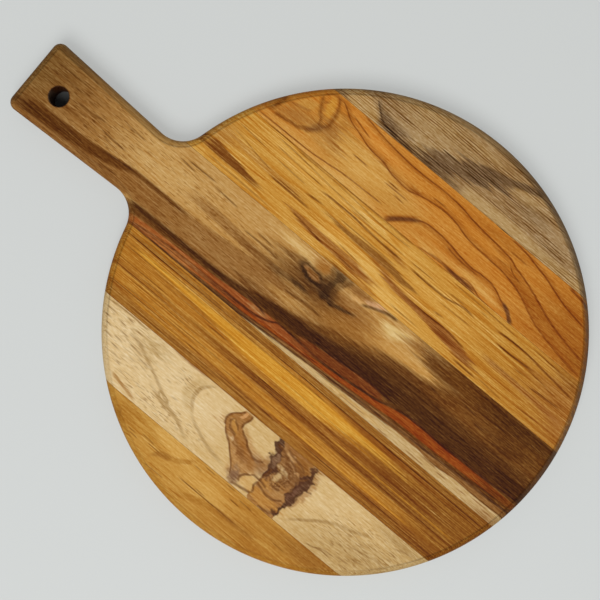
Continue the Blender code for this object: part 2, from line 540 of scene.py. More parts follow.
# %% Fibre and growth line groups
PORE_PEAK = 0.7
PORE_SPREAD = -0.16
PORE_EDGE = 0.1
MOTTLE_EDGE = (0.42, 0.58)
LATE_WOOD = (0.5, 0.86)
RING_END = (0.9, 1.0)
RINGS_COME = (0.36, 0.62)
BEND_REACH = 6.0


def fibre_tree():
    names = ("Fibre", "Fine", "Speck", "Pores", "Mottle", "Fleck", "Cloud")
    tree, given, result = new_tree(
        "ShaderNodeTree",
        "wood_fibre",
        [("Solid", ARROW, None), ("Length", NUMBER, 1.0), ("Density", NUMBER, 0.5)],
        [(name, NUMBER) for name in names],
    )
    solid = given["Solid"]
    long = arrow_sum(tree, "DIVIDE", solid, join(tree, given["Length"], 1.0, 1.0))
    dash = noise(tree, scaled(tree, long, 0.2, 1.5, 1.2), 0.0)
    start = sum_of(tree, "MULTIPLY_ADD", given["Density"], PORE_SPREAD, PORE_PEAK)
    mottle = noise(tree, scaled(tree, solid, 0.75, 0.8, 0.5), 1.0)
    patterns = {
        "Fibre": noise(tree, scaled(tree, long, 0.03, 1.4, 1.1), 2.0),
        "Fine": noise(tree, scaled(tree, long, 0.14, 1.7, 1.4), 1.0),
        "Speck": noise(tree, scaled(tree, solid, 0.45, 2.0, 1.6), 0.0),
        "Pores": ease(tree, dash, start, sum_of(tree, "ADD", start, PORE_EDGE)),
        "Mottle": ease(tree, mottle, *MOTTLE_EDGE),
        "Fleck": noise(tree, scaled(tree, solid, 0.05, 0.5, 0.4), 1.0),
        "Cloud": noise(tree, scaled(tree, solid, 0.014, 0.06, 0.06), 2.0),
    }
    for name, pattern in patterns.items():
        tree.links.new(pattern, result[name])
    return tree


def growth_tree():
    tree, given, result = new_tree(
        "ShaderNodeTree",
        "growth_lines",
        [("Solid", ARROW, None), ("Across", NUMBER, 0.0), ("Spacing", NUMBER, 4.0), ("Bend", NUMBER, 1.0)],
        [("Late wood", NUMBER)],
    )
    slow = noise(tree, scaled(tree, given["Solid"], 0.008, 0.07, 0.05), 2.0)
    count = sum_of(tree, "DIVIDE", given["Across"], given["Spacing"])
    bent = sum_of(tree, "MULTIPLY", slow, sum_of(tree, "MULTIPLY", given["Bend"], BEND_REACH))
    ring = sum_of(tree, "FRACT", sum_of(tree, "ADD", count, bent))
    line = sum_of(tree, "MULTIPLY", ease(tree, ring, *LATE_WOOD), ease(tree, ring, *RING_END, 1.0, 0.0))
    coming = ease(tree, noise(tree, scaled(tree, given["Solid"], 0.02, 0.16, 0.1), 1.0), *RINGS_COME)
    tree.links.new(sum_of(tree, "MULTIPLY", line, coming), result["Late wood"])
    return tree


FIBRE = fibre_tree()
GROWTH = growth_tree()
print(FIBRE.name, len(FIBRE.nodes), "nodes,", GROWTH.name, len(GROWTH.nodes), "nodes")

# %% [markdown]
# ## The rim
# Where the cutter went round, the wood is a little darker, most of all where the fibres end. A thin
# dark line runs where the round-over meets the face, partly painted shade: it is weaker on the left,
# the side towards the lamp. On the far side from the lamp the rim is painted a blotchy grey as
# shade. How steep the surface is, and which way it faces, says where.

# %% The rim group
ROUNDED = (0.965, 0.997)
LINE_STARTS = (0.94, 0.985)
LINE_ENDS = (0.985, 0.9995)
LEFTWARD = (0.45, 0.8)
LEFT_LINE = 0.3
SHADED_SIDE = (-0.76, -0.65, 0.0)
SHADED_FACING = (0.55, 0.95)
FAR_SHADE_ENDS = (0.9, 0.998)
ENDS_OF_FIBRES = (0.15, 0.8)


def rim_tree():
    tree, given, result = new_tree(
        "ShaderNodeTree",
        "sawn_rim",
        [("Normal", ARROW, None)],
        [("Rim", NUMBER), ("Line", NUMBER), ("End grain", NUMBER), ("Far side shade", NUMBER)],
    )
    facing = split(tree, given["Normal"])
    upness = sum_of(tree, "ABSOLUTE", facing["Z"])
    tree.links.new(ease(tree, upness, *ROUNDED, 1.0, 0.0), result["Rim"])
    inside = ease(tree, upness, *LINE_ENDS, 1.0, 0.0)
    line = sum_of(tree, "MULTIPLY", ease(tree, upness, *LINE_STARTS), inside)
    outward = arrow_sum(tree, "NORMALIZE", join(tree, facing["X"], facing["Y"], 0.0))
    to_left = split(tree, outward)["Y"]
    # Painted shade: the line is weakened on the left, the side towards the lamp.
    line = sum_of(tree, "MULTIPLY", line, ease(tree, to_left, *LEFTWARD, 1.0, LEFT_LINE))
    tree.links.new(line, result["Line"])
    # Painted shade: a mask for the rim on its side away from the lamp, strongest towards its outside.
    far = ease(tree, arrow_sum(tree, "DOT_PRODUCT", outward, SHADED_SIDE), *SHADED_FACING)
    far_shade = sum_of(tree, "MULTIPLY", far, ease(tree, upness, *FAR_SHADE_ENDS, 1.0, 0.0))
    tree.links.new(far_shade, result["Far side shade"])
    endward = sum_of(tree, "ABSOLUTE", facing["X"])
    tree.links.new(ease(tree, endward, *ENDS_OF_FIBRES), result["End grain"])
    return tree


SAWN_RIM = rim_tree()
print(SAWN_RIM.name, len(SAWN_RIM.nodes), "nodes")

# %% [markdown]
# ## A finish in layers
# A stave's finish starts from one colour and is painted over in layers, the broad washes first
# and the thin dark lines last. The class below keeps the node tree and the colour so far. At the
# end the fibres, pores and growth lines bend the colour with a Gamma node, because a darker fibre
# is also a redder one, and the same masks give the oiled surface its roughness and its relief.

# %% The finish of a stave
RING_SOFT = 0.5
OIL_GLOSS = 0.06
OIL_SHEEN = 0.0055
BLACKEST = 0.002
ROUGH_FIBRE = (0.25, 0.75)
OIL_ROUGH = (0.44, 0.56)
RIM_ROUGH = 0.06
RELIEF = 0.06 * MM
RELIEF_STRENGTH = 0.6
FIBRE_RELIEF = 0.8
RIM_DARK = 0.14
RIM_LINE = 0.36
END_GRAIN_DARK = 0.1
FAR_SHADE_FLECK = (0.35, 0.65)
FAR_SHADE_COVER = (0.45, 0.75)


def paint(red, green, blue):
    """A colour as it should look, from 0 to 255, in linear values and without the oil's own sheen."""
    shares = [level / 255 for level in (red, green, blue)]
    linear = [s / 12.92 if s <= 0.04045 else ((s + 0.055) / 1.055) ** 2.4 for s in shares]
    return (*[max(value - OIL_SHEEN, BLACKEST) for value in linear], 1)


# Painted shade: the grey that the rim takes on its side away from the lamp.
RIM_SHADE_GREY = paint(84, 70, 57)


def group(tree, made, **sockets):
    return add(tree, "ShaderNodeGroup", {"node_tree": made}, **sockets).outputs


def curve(tree, along, points):
    """A Float Curve through points in millimetres, level beyond its ends."""
    node = add(tree, "ShaderNodeFloatCurve")
    node.mapping.use_clip = False
    node.mapping.extend = "HORIZONTAL"
    line = node.mapping.curves[0]
    line.points[0].location = points[0]
    line.points[1].location = points[-1]
    for point in points[1:-1]:
        line.points.new(*point)
    for knot in line.points:
        knot.handle_type = "AUTO_CLAMPED"
    node.mapping.update()
    feed(tree, node.inputs["Value"], along)
    return node.outputs[0]


class Wood:
    """One stave's finish, painted in layers over its first colour."""

    def __init__(self, name, colour, seed, lean=(1.0, 0.3), wander=0.4, tear=1.0, length=1.0, pores=0.5):
        self.material = bpy.data.materials.new(name)
        self.material.use_nodes = True
        self.tree = self.material.node_tree
        self.place = add(self.tree, "ShaderNodeTexCoord").outputs["Object"]
        facing = add(self.tree, "ShaderNodeNewGeometry").outputs["Normal"]
        leans = {"Lean_along": lean[0], "Lean_across": lean[1]}
        amounts = {"Wander": wander, "Feather": 1.0, "Tear": tear}
        self.space = group(self.tree, GRAIN_SPACE, Position=self.place, Seed=seed, **leans, **amounts)
        self.rim = group(self.tree, SAWN_RIM, Normal=facing)
        self.fibre = group(self.tree, FIBRE, Solid=self.space["Solid"], Length=length, Density=pores)
        self.colour = colour
        self.marks = 0

    def layer(self, mask, colour):
        self.colour = blend(self.tree, mask, self.colour, colour)
        self.marks += 1

    def streak(
        self, colour, strength, half, soft, points, broken=0.0, fade=12.0, edge="Smooth", upright=False
    ):
        """A band along a path. Half its width is one number, or points along it."""
        along, across = self.space[edge + " along"], self.space[edge + " across"]
        if upright:
            along, across = across, along
        path = curve(self.tree, along, points)
        if isinstance(half, list):
            half = curve(self.tree, along, half)
        sides = {"Path": path, "Half_width": half, "Soft": soft}
        ends = {"Start": points[0][0], "End": points[-1][0], "Fade": fade}
        wear = {"Fleck": self.fibre["Fleck"], "Broken": broken, "Strength": strength}
        mask = group(self.tree, STREAK, Along=along, Across=across, **sides, **ends, **wear)["Mask"]
        self.layer(mask, colour)

    def ring(self, line, halo, points, half=0.35, strength=0.85, shade=0.6, spread=2.4, below=0.9, **more):
        """A ring line, with the deeper wood that shades off below it, or above where that is minus."""
        shaded = [(x, y - below) for x, y in points]
        self.streak(halo, shade, half, spread, shaded, **more)
        self.streak(line, strength, half, RING_SOFT, points, **more)

    def lines(self, colour, strength, half, soft, paths, **more):
        """Several thin streaks of one kind."""
        for points in paths:
            self.streak(colour, strength, half, soft, points, **more)

    def patch(
        self, colour, strength, centre, size, soft=0.8, slope=0.0, edge="Feather", show="Fill", through=None
    ):
        """A cloudy spot with these half sizes, or only its rim, or only the pores or mottle in it."""
        along, across = self.space[edge + " along"], self.space[edge + " across"]
        middle = {"Centre_along": centre[0], "Centre_across": centre[1], "Slope": slope}
        reach = {"Half_length": size[0], "Half_width": size[1], "Soft": soft}
        mask = group(self.tree, PATCH, Along=along, Across=across, Strength=strength, **middle, **reach)
        mask = mask[show]
        if through:
            mask = sum_of(self.tree, "MULTIPLY", mask, self.fibre[through])
        self.layer(mask, colour)

    def patches(self, spots, **more):
        """Several patches of one kind, each with its colour, strength, centre, size, softness and slope."""
        for spot in spots:
            self.patch(*spot, **more)

    def finish(
        self, fibre=0.9, fine=0.5, speck=0.8, pores=0.2, cloud=0.3, growth=0.2, spacing=4.0, bend=1.0
    ):
        """Adds fibres, pores and fine growth lines, and joins everything to the shader."""
        tree = self.tree
        across = self.space["Feather across"]
        late = group(tree, GROWTH, Solid=self.space["Solid"], Across=across, Spacing=spacing, Bend=bend)
        pull = 1.0
        for name, reach in (("Fibre", fibre), ("Fine", fine), ("Speck", speck), ("Cloud", cloud)):
            pull = sum_of(tree, "ADD", pull, swing(tree, self.fibre[name], reach))
        pull = sum_of(tree, "MULTIPLY_ADD", self.fibre["Pores"], pores, pull)
        pull = sum_of(tree, "MULTIPLY_ADD", late["Late wood"], growth, pull)
        colour = add(tree, "ShaderNodeGamma", Color=self.colour, Gamma=pull).outputs[0]
        rim_dark_and_shade = sum_of(tree, "MULTIPLY_ADD", self.rim["End grain"], END_GRAIN_DARK, RIM_DARK)
        rim_dark_and_shade = sum_of(tree, "MULTIPLY", rim_dark_and_shade, self.rim["Rim"])
        # The rim's dark line, partly painted shade, goes on top of the rim's own darkening.
        rim_dark_and_shade = sum_of(tree, "MULTIPLY_ADD", self.rim["Line"], RIM_LINE, rim_dark_and_shade)
        left = sum_of(tree, "SUBTRACT", 1.0, rim_dark_and_shade)
        darkened = arrow_sum(tree, "SCALE", colour, left)
        # Painted shade on the rim's side away from the lamp, broken up by the fleck.
        painted_far_shade = ease(tree, self.fibre["Fleck"], *FAR_SHADE_FLECK, *FAR_SHADE_COVER)
        painted_far_shade = sum_of(tree, "MULTIPLY", painted_far_shade, self.rim["Far side shade"])
        oiled = blend(tree, painted_far_shade, darkened, RIM_SHADE_GREY)
        rough = ease(tree, self.fibre["Fibre"], *ROUGH_FIBRE, *OIL_ROUGH)
        rough = sum_of(tree, "MULTIPLY_ADD", self.rim["Rim"], RIM_ROUGH, rough)
        height = sum_of(tree, "MULTIPLY_ADD", self.fibre["Pores"], -1.0, self.fibre["Fine"])
        height = sum_of(tree, "MULTIPLY_ADD", self.fibre["Fibre"], FIBRE_RELIEF, height)
        relief = {"Strength": RELIEF_STRENGTH, "Distance": RELIEF}
        bump = add(tree, "ShaderNodeBump", Height=height, **relief).outputs[0]
        shader = tree.nodes["Principled BSDF"]
        for name, value in (("Base Color", oiled), ("Roughness", rough), ("Normal", bump)):
            feed(tree, shader.inputs[name], value)
        shader.inputs["Specular IOR Level"].default_value = OIL_GLOSS
        print(self.material.name, self.marks, "layers,", len(tree.nodes), "nodes")
        return self.material


FINISHES = {}
print("class ready")

# %% [markdown]
# ## The golden outer stave
# The cap on the far left is plain golden heartwood, with one long dark ring line, a bright cloud
# beside the joint and a scatter of short pores. It is browner towards its ends, and at the end
# away from the handle that browning is painted shade, where the light falls off. All places below
# are in the drawn units: along the handle's direction first, then to the left of it. A patch is
# given by its colour, strength, centre, half sizes, softness and slope, and a streak by its colour,
# strength, half width, softness and path.

# %% Golden outer stave
GOLD = paint(181, 131, 56)
DEEP_GOLD = paint(164, 111, 40)
NUT_BROWN = paint(142, 91, 32)
BRIGHT_GOLD = paint(200, 152, 75)
RING_LINE = paint(114, 66, 20)
DASH_FALL = 0.3

wood = Wood("golden_cap", GOLD, 1.0, lean=(1.5, 0.5), length=2.5, pores=0.3)
# The nut-brown patches towards the end away from the handle are painted shade, where the light falls off.
wood.patches([
    (DEEP_GOLD, 0.8, (-52, 137), (42, 18), 0.8, 0.25),
    (NUT_BROWN, 0.85, (-76, 123), (24, 6), 0.7, 0.12),
    (NUT_BROWN, 0.5, (-92, 119), (16, 10)),
    (BRIGHT_GOLD, 0.7, (10, 130), (26, 9), 0.9),
    (BRIGHT_GOLD, 0.8, (37, 123), (14, 6), 0.35),
    (BRIGHT_GOLD, 0.2, (56, 136), (8, 5), 0.6),
])
wood.streak(DEEP_GOLD, 0.8, 1.0, 2.2, [(-44, 134.5), (-14, 137.5), (0, 139), (10, 142), (22, 146.5)])
wood.streak(NUT_BROWN, 0.6, 0.6, 1.4, [(-42, 135), (-32, 136.4), (-20, 136.6), (-6, 136)], fade=8)
wood.streak(RING_LINE, 0.8, 0.2, 0.5, [(-27, 136.3), (-5, 136), (24, 136)], broken=0.2, fade=8)
wood.streak(DEEP_GOLD, 0.8, 0.8, 2.0, [(17, 119), (22, 124), (29, 128.6), (38, 131), (46, 131)], fade=6)
wood.streak(NUT_BROWN, 0.6, 0.8, 2.0, [(32, 130.6), (39, 132), (44, 135), (46.5, 140)], fade=4)
wood.patch(DEEP_GOLD, 0.8, (74, 128), (8, 13), 0.6)
wood.streak(NUT_BROWN, 0.6, 0.8, 2.0, [(63, 139), (70, 135.5), (75, 131), (78.5, 122)], fade=3)
dashes = [(-28, 123.4, 13), (-12, 120.6, 9), (4, 120.6, 10), (28, 143, 17), (40, 132, 12), (46, 130, 12)]
dashes += [(57, 134, 9), (60, 132.2, 8), (0, 135, 10), (-60, 130, 12), (-20, 126.4, 10), (12, 124, 8)]
for start, level, length in dashes:
    dash = [(start, level), (start + length, level - DASH_FALL)]
    wood.streak(RING_LINE, 0.6, 0.15, 0.4, dash, fade=3)
FINISHES["left_wood_3"] = wood.finish(fibre=0.6, fine=0.45, speck=0.4, cloud=0.5, growth=0.1, spacing=5.0)

# %% [markdown]
# ## The pale stave
# Next comes sapwood, straw-coloured. On the left its rings sweep up at a slant, on the right they
# meet in an arrow, and the wood between is smooth. Its pores are short and many.

# %% Pale stave
STRAW = paint(205, 173, 119)
PALE_STRAW = paint(220, 193, 146)
DUSTY_STRAW = paint(184, 152, 99)
STRAW_LINE = paint(163, 130, 80)
STRAW_PORE = paint(142, 106, 60)
STRAW_BROWN = paint(165, 120, 62)
STRAW_SHADE = paint(150, 104, 54)

wood = Wood("pale_burl", STRAW, 2.0, lean=(0.4, 0.25), tear=2.2, pores=0.75)
wood.patches([
    (DUSTY_STRAW, 0.85, (-100, 106), (46, 16), 0.7, 0.25),
    (DUSTY_STRAW, 0.6, (-122, 86), (16, 10), 0.7),
    (STRAW_LINE, 0.65, (-112, 79.4), (18, 3)),
    (PALE_STRAW, 0.4, (34, 93), (16, 18), 0.4),
    (PALE_STRAW, 0.8, (90, 98), (54, 24), 0.5),
    (PALE_STRAW, 0.2, (-60, 90), (26, 8), 0.7, 0.3),
])
wood.patch(STRAW_PORE, 0.5, (-100, 100), (36, 16), 0.4, through="Pores")
wood.patches([
    (DUSTY_STRAW, 0.45, (86, 91), (6, 5)),
    (DUSTY_STRAW, 0.8, (85, 83), (9, 4)),
    (STRAW_LINE, 0.3, (-100, 101), (18, 7)),
])
wood.patches([
    (STRAW_PORE, 0.3, (104, 92), (32, 18), 0.4),
    (STRAW_PORE, 0.6, (56, 86), (8, 5), 0.6),
    (STRAW_PORE, 0.5, (58, 110), (34, 6), 0.5),
], through="Pores")
sweeps = [
    [(-100, 86), (-85, 92), (-76, 94.5), (-70, 97), (-63, 101), (-57, 105.5), (-50, 111), (-44, 117)],
    [(-74, 96.5), (-64, 100), (-56, 106), (-48, 112.5), (-43, 117)],
    [(2, 113), (20, 110), (30, 106.5), (38, 103), (46, 97)],
    [(28, 118), (36, 114.5), (45, 110), (56, 106.3), (66, 101), (78, 95), (92, 88.5), (105, 84)],
    [(48, 110), (58, 107.6), (68, 104.5), (76, 101)],
    [(70, 79.5), (76, 81.5), (80, 84), (84, 88)],
]
wood.lines(STRAW_LINE, 0.6, 0.3, 1.6, sweeps)
wood.streak(
    DUSTY_STRAW, 0.5, 1.6, 4.0, [(77, 43), (83, 49.5), (88, 51.5), (94, 50.5), (103, 43)], fade=6,
    upright=True,
)
wood.streak(
    STRAW_LINE, 0.6, 0.5, 1.8, [(76, 38), (82, 45), (87, 47.5), (92, 47), (101, 41)], fade=5,
    upright=True,
)
wood.patch(STRAW_LINE, 0.7, (61.5, 104), (4, 1.5), 0.5, -0.2, edge="Smooth", show="Rim")
hairs = [
    [(-98, 113), (-88, 113.8)], [(-85, 114.3), (-76, 114.4), (-70, 116.2), (-64, 117.6)],
    [(-85, 112.6), (-76, 113.4), (-69, 117)], [(-105, 98), (-98, 99), (-88, 100.3)],
    [(-113, 97.6), (-103, 97)], [(-124, 80.8), (-112, 82.8)], [(-118, 83), (-109, 84)],
    [(-117, 88.2), (-108, 87.4)], [(-104, 104), (-92, 106.5)], [(-96, 110), (-84, 111)],
    [(94, 78.2), (110, 77.6), (130, 78.6)], [(78, 96), (90, 95)], [(86, 92.6), (100, 91.6)],
    [(52, 99.6), (60, 100.4)], [(88, 87.6), (104, 86.8)], [(98, 103), (106, 102.4)],
    [(94, 105.4), (101, 105)], [(100, 99), (109, 98.4)], [(88, 98.6), (96, 98)],
    [(108, 95.6), (117, 95)], [(102, 94), (111, 93.4)], [(112, 90.4), (121, 90)],
    [(100, 89.2), (110, 88.8)], [(116, 86.6), (125, 86.2)], [(106, 85), (114, 84.6)],
    [(94, 83), (103, 82.6)], [(116, 82.4), (127, 82)], [(104, 80.4), (112, 80)],
    [(66, 112.6), (72, 112)], [(48, 114.4), (54, 113.8)], [(76, 108), (82, 107.4)],
    [(62, 94), (68, 93.6)],
]
wood.lines(STRAW_PORE, 0.7, 0.2, 0.6, hairs, broken=0.3, fade=4)
wood.streak(STRAW_BROWN, 0.8, 0.5, 1.0, [(72, 117), (83, 115), (90, 113.5), (98, 112)], fade=6)
wood.patch(STRAW_SHADE, 0.7, (63, 76.3), (6, 1.6), 0.4)
print("pale stave begun,", wood.marks, "layers")

# %% [markdown]
# ## The burl
# In the middle of the pale stave a branch was overgrown. Two ragged dark bark seams stand across
# the grain with speckled brown wood between them, and a curled arm of bark reaches to the right.
# Seams that run across the grain are streaks with their two directions exchanged, on the torn
# coordinates, so that their sides are ragged. The wood goes on first, then the seams, then lines.

# %% The burl's brown wood
BARK = paint(82, 49, 31)
BARK_MIDDLE = paint(116, 80, 58)
BURL_TAN = paint(174, 130, 76)
BURL_BROWN = paint(154, 106, 56)
BURL_GOLD = paint(182, 131, 64)
BURL_ORANGE = paint(162, 108, 48)
BURL_LINE = paint(108, 66, 32)
GREY_BROWN = paint(138, 104, 74)
ARM_TAN = paint(182, 138, 84)
ARM_BROWN = paint(158, 110, 58)
BURL_RUST = paint(144, 94, 40)
ARM_SHADE = paint(132, 87, 45)
BURL_STRAW = paint(202, 164, 104)
ARM_LIGHT = paint(206, 154, 98)
BURL_LIGHT = paint(190, 145, 90)

wood.streak(
    BURL_BROWN, 0.95, [(76, 11), (84, 11), (96, 10), (110, 10), (119, 10)], 1.4,
    [(74, -27), (80, -26), (90, -29), (100, -28.5), (110, -28), (121, -29)], fade=2, edge="Torn",
    upright=True,
)
wood.patch(BURL_GOLD, 0.9, (-27, 113.5), (10, 5), 0.4)
wood.streak(
    BURL_BROWN, 0.6, 2.2, 2.6, [(78, -43), (88, -44.6), (98, -43.4), (110, -41)], fade=6, edge="Torn",
    upright=True,
)
wood.patches([
    (BURL_TAN, 0.9, (-28, 104.6), (9, 3.6), 0.5),
    (BURL_GOLD, 0.8, (-24, 105), (5, 2.6), 0.6),
], edge="Torn")
wood.patch(BURL_RUST, 0.9, (-34, 81), (7, 6), 0.5)
wood.patch(BURL_TAN, 0.8, (-27.5, 95.5), (6.5, 9), 0.4, edge="Torn")
wood.patch(BURL_LINE, 0.85, (-27.5, 95), (7, 9), 0.4, edge="Smooth", through="Mottle")
wood.patches([
    (BURL_LINE, 0.6, (-28, 92), (8, 8), 0.7),
    (BURL_LINE, 0.6, (-34.4, 88), (4, 5), 0.7),
    (STRAW, 0.7, (-25.6, 96.8), (2.0, 2.8), 0.5),
    (STRAW, 0.5, (-25, 91.4), (4.5, 1.0), 0.6, -0.3),
], edge="Torn")
wood.streak(ARM_TAN, 0.7, 2.0, 3.0, [(-12, 95), (-6, 96), (2, 92.6), (8, 89), (12, 86)], fade=4)
wood.patches([
    (GREY_BROWN, 0.75, (-12, 99), (8, 5), 0.7),
    (BURL_BROWN, 0.75, (-13, 95), (4, 4), 0.7),
], edge="Torn")
wood.patch(ARM_TAN, 0.7, (23.4, 91), (2.6, 5), 0.7)
wood.patch(ARM_TAN, 0.9, (-5, 107), (9, 7), 0.5, edge="Torn")
wood.streak(
    ARM_BROWN, 1.0, [(-9, 4), (0, 8), (4, 7.4), (8, 6.6), (12, 5.5), (16, 4)], 1.2,
    [(-14, 102.5), (-6, 103.5), (0, 102.5), (4, 99), (8, 96), (12, 93), (17, 91)], fade=7,
)
wood.streak(
    ARM_BROWN, 1.0, [(76, 2.4), (80, 3.8), (84, 5), (88, 5.6), (92, 5), (96, 3)], 0.9,
    [(76, 12.5), (80, 13.8), (84, 16.8), (88, 17.3), (92, 15.8), (97, 13.5)], fade=2, upright=True,
)
wood.streak(
    ARM_TAN, 0.8, 1.0, 2.6, [(-6, 110), (0, 107), (5, 102.4), (10, 97.6), (18, 93)], fade=4,
    edge="Torn",
)
wood.patches([
    (ARM_SHADE, 0.75, (3, 98.2), (9, 3.0), 0.8, -0.55),
    (BURL_ORANGE, 0.6, (6, 94.2), (9, 2.0), 0.7, -0.6),
    (GREY_BROWN, 0.85, (-3.6, 113), (4, 5.4), 0.6, -0.4),
    (BARK_MIDDLE, 0.5, (-4, 113), (2.4, 3.4), 0.7, -0.4),
    (ARM_TAN, 0.8, (-5, 105.6), (5, 2.6), 0.7),
    (BURL_LINE, 0.5, (-24, 83.4), (6, 3), 0.7, -0.4),
    (BURL_STRAW, 0.9, (-12.6, 110.5), (5.2, 4.4), 0.25),
], edge="Torn")
wood.patch(BURL_GOLD, 0.9, (15.8, 89), (4.4, 2.2), 0.4, -0.7, edge="Smooth")
wood.patch(PALE_STRAW, 0.35, (11.8, 95.2), (1.8, 1.2), 0.5, edge="Torn")
wood.streak(ARM_LIGHT, 0.8, 0.7, 0.9, [(77, 14), (80, 14.3), (83, 16)], fade=1, upright=True)
wood.streak(
    BURL_LIGHT, 0.7, 0.6, 1.0, [(-36, 88), (-31, 85.6), (-26, 82.4), (-19, 79.4)], fade=3, edge="Torn",
)
print("burl wood,", wood.marks, "layers")

# %% The burl's seams and lines
wood.streak(
    BARK, 0.95,
    [
        (76, 0.3), (82, 1.0), (86, 2.2), (89, 3.2), (93, 2.9), (97, 2.5), (104, 2.0), (107, 1.0),
        (110, 0.3),
    ],
    2.2,
    [
        (75, -41), (79, -40.6), (82, -41.6), (85, -41.6), (88, -40.6), (91, -40.4), (105, -40.4),
        (111, -39.6), (119, -37),
    ],
    fade=2, edge="Torn", upright=True,
)
wood.patch(BARK_MIDDLE, 0.7, (-39.9, 98), (1.7, 6), 0.5, edge="Torn")
wood.streak(
    BARK, 0.95,
    [(77, 0.6), (79, 1.4), (82, 2.1), (85, 1.7), (91, 1.9), (94, 2.2), (97, 1.0), (100, 0.3)], 2.2,
    [
        (75, -13), (79, -12.8), (82, -14.8), (85, -17.5), (88, -17), (94, -18.5), (97, -19.2),
        (105, -18.3),
    ],
    fade=2, edge="Torn", upright=True,
)
wood.patches([
    (GREY_BROWN, 0.7, (-18, 88), (1.6, 4), 0.6),
    (BARK, 0.85, (-45, 91), (2.8, 0.9), 0.5),
    (BARK, 0.85, (-44.6, 85.3), (2.0, 0.8), 0.5),
    (BARK, 0.85, (-12.6, 88.8), (1.8, 0.9), 0.5),
    (BARK, 0.85, (-22, 95), (2.4, 1.6), 0.5),
], edge="Torn")
contours = [
    [(-39, 113), (-37, 116), (-33, 117.6), (-26, 118.4)],
    [(-38, 106), (-35, 108), (-31, 109.8), (-27, 109.8), (-23, 108.8), (-17.5, 107.2)],
    [(-25, 106.5), (-20, 105.6), (-14, 105), (-11, 107), (-7, 110.5)],
    [(-19, 115.4), (-15, 115.8), (-11, 116.4), (-4, 117.5)],
    [(-41.5, 84), (-40, 86.5), (-38, 88.5), (-34.5, 90)],
    [(-33, 87.5), (-27, 84), (-22, 83), (-17, 81), (-12, 80)],
    [(-37, 84), (-31, 81.5), (-25, 80.5), (-19, 78.5)],
    [(-33, 102), (-29, 103), (-24.5, 102.6)],
    [(-2, 116), (0, 112), (2, 109), (6, 105), (9, 102), (12, 98.8), (15, 97), (18, 95), (21, 92)],
    [(-13, 94.5), (-10, 96.3), (-6, 97), (-2, 95.3), (2, 93.5), (4, 91.3), (8, 89.5), (11, 87.3)],
    [(11, 93.4), (14, 92.6), (17.5, 91.6), (19.8, 89.4)],
    [(11.5, 91), (13.5, 88.6), (16, 87), (18.5, 85.6)],
]
wood.lines(BURL_LINE, 0.75, 0.2, 1.2, contours, fade=1.5)
uprights = [
    [(106, -18), (110, -17.2), (113, -18.8), (115.6, -18.2)],
    [(106, -11.5), (109, -8), (112, -7.2), (115, -8.5)],
    [(94, -19), (98, -19.2), (102, -18.1), (106, -18.4)],
    [(77, 14.8), (80, 17.3), (82, 20), (84, 21.8), (86, 22.9), (88, 23.2), (90, 22.6), (93, 20.6)],
    [(76.5, 10.3), (79, 9.9), (82, 11), (84.5, 11.9), (88, 11.2)],
    [(84.5, 17.5), (86, 19.3), (88, 19.9), (90, 19.2)],
]
wood.lines(BURL_LINE, 0.75, 0.2, 1.2, uprights, fade=1.5, upright=True)
FINISHES["left_wood_2"] = wood.finish(fibre=0.5, fine=0.5, speck=0.45, pores=0.08, growth=0.05, bend=1.6)

# %% [markdown]
# ## The striped stave
# Beside the handle stave on the left is quarter-sawn heartwood: straight stripes the whole length,
# brown, gold and one bright yellow, ruled with dark hairlines. It is nothing but long streaks.

# %% Striped stave
STRIPE_BROWN = paint(148, 93, 34)
DARK_BROWN = paint(128, 78, 27)
STRIPE_GOLD = paint(180, 123, 46)
STRIPE_YELLOW = paint(206, 150, 55)
ROSE_BROWN = paint(156, 106, 43)
HAIRLINE = paint(98, 52, 16)
SAG = 0.2

wood = Wood("striped_heartwood", STRIPE_BROWN, 3.0, lean=(2.0, 0.6), wander=0.3, length=4.0)
wood.streak(ROSE_BROWN, 0.9, 1.6, 1.2, [(-160, 36), (0, 36.4), (160, 36)])
wood.streak(STRIPE_GOLD, 0.8, 1.2, 1.2, [(50, 35), (90, 35.2), (160, 35.4)], fade=20)
wood.streak(STRIPE_GOLD, 0.95, 3.2, 1.4, [(-160, 65), (-60, 65), (20, 65), (60, 64), (160, 62)])
wood.streak(
    STRIPE_GOLD, 0.8, [(-160, 0), (-60, 1), (0, 6), (60, 6), (160, 6)], 4.0,
    [(-160, 45), (0, 46), (60, 47), (160, 47)],
)
wood.streak(ROSE_BROWN, 0.8, 2.0, 1.5, [(-160, 74), (0, 74), (160, 73)])
wood.streak(STRIPE_GOLD, 0.5, 8, 4.0, [(20, 60), (80, 60), (160, 60)], fade=60)
wood.streak(
    STRIPE_YELLOW, 0.95,
    [(-85, 0), (-50, 1.6), (-20, 3.6), (20, 4.0), (55, 2.6), (80, 1.4), (140, 0.4)], 1.8,
    [(-85, 45), (-40, 45.4), (0, 46.3), (40, 46), (70, 44.6), (110, 43.6), (140, 43.4)], fade=20,
)
wood.streak(
    STRIPE_YELLOW, 0.7, 0.8, 1.2, [(-40, 49.6), (-10, 51), (30, 50.5), (60, 50)], broken=0.3, fade=25,
)
wood.streak(DARK_BROWN, 0.7, 6, 5, [(-160, 51), (-100, 52), (-30, 53)], fade=55)
wood.streak(
    DARK_BROWN, 0.4, 1.4, 1.4, [(-160, 59.6), (-60, 60), (0, 58.2), (40, 57.4), (90, 55.6)], fade=30,
)
# The first patch darkens the end away from the handle: painted shade, where the light falls off.
wood.patches([
    (DARK_BROWN, 0.9, (-148, 55), (46, 60)),
    (DARK_BROWN, 0.5, (-136, 37), (16, 4)),
])
gleams = [(67.8, -110, 20), (56.9, -140, -30), (46.6, -96, -40), (44.8, -90, -50), (43, -80, -45)]
gleams += [(55.2, 0, 34), (53.6, 56, 78), (49.8, -70, -20), (44.4, 60, 136), (69.4, 60, 120)]
for level, start, end in gleams:
    wood.streak(STRIPE_YELLOW, 0.5, 0.2, 0.6, [(start, level), (end, level - SAG)], broken=0.3)
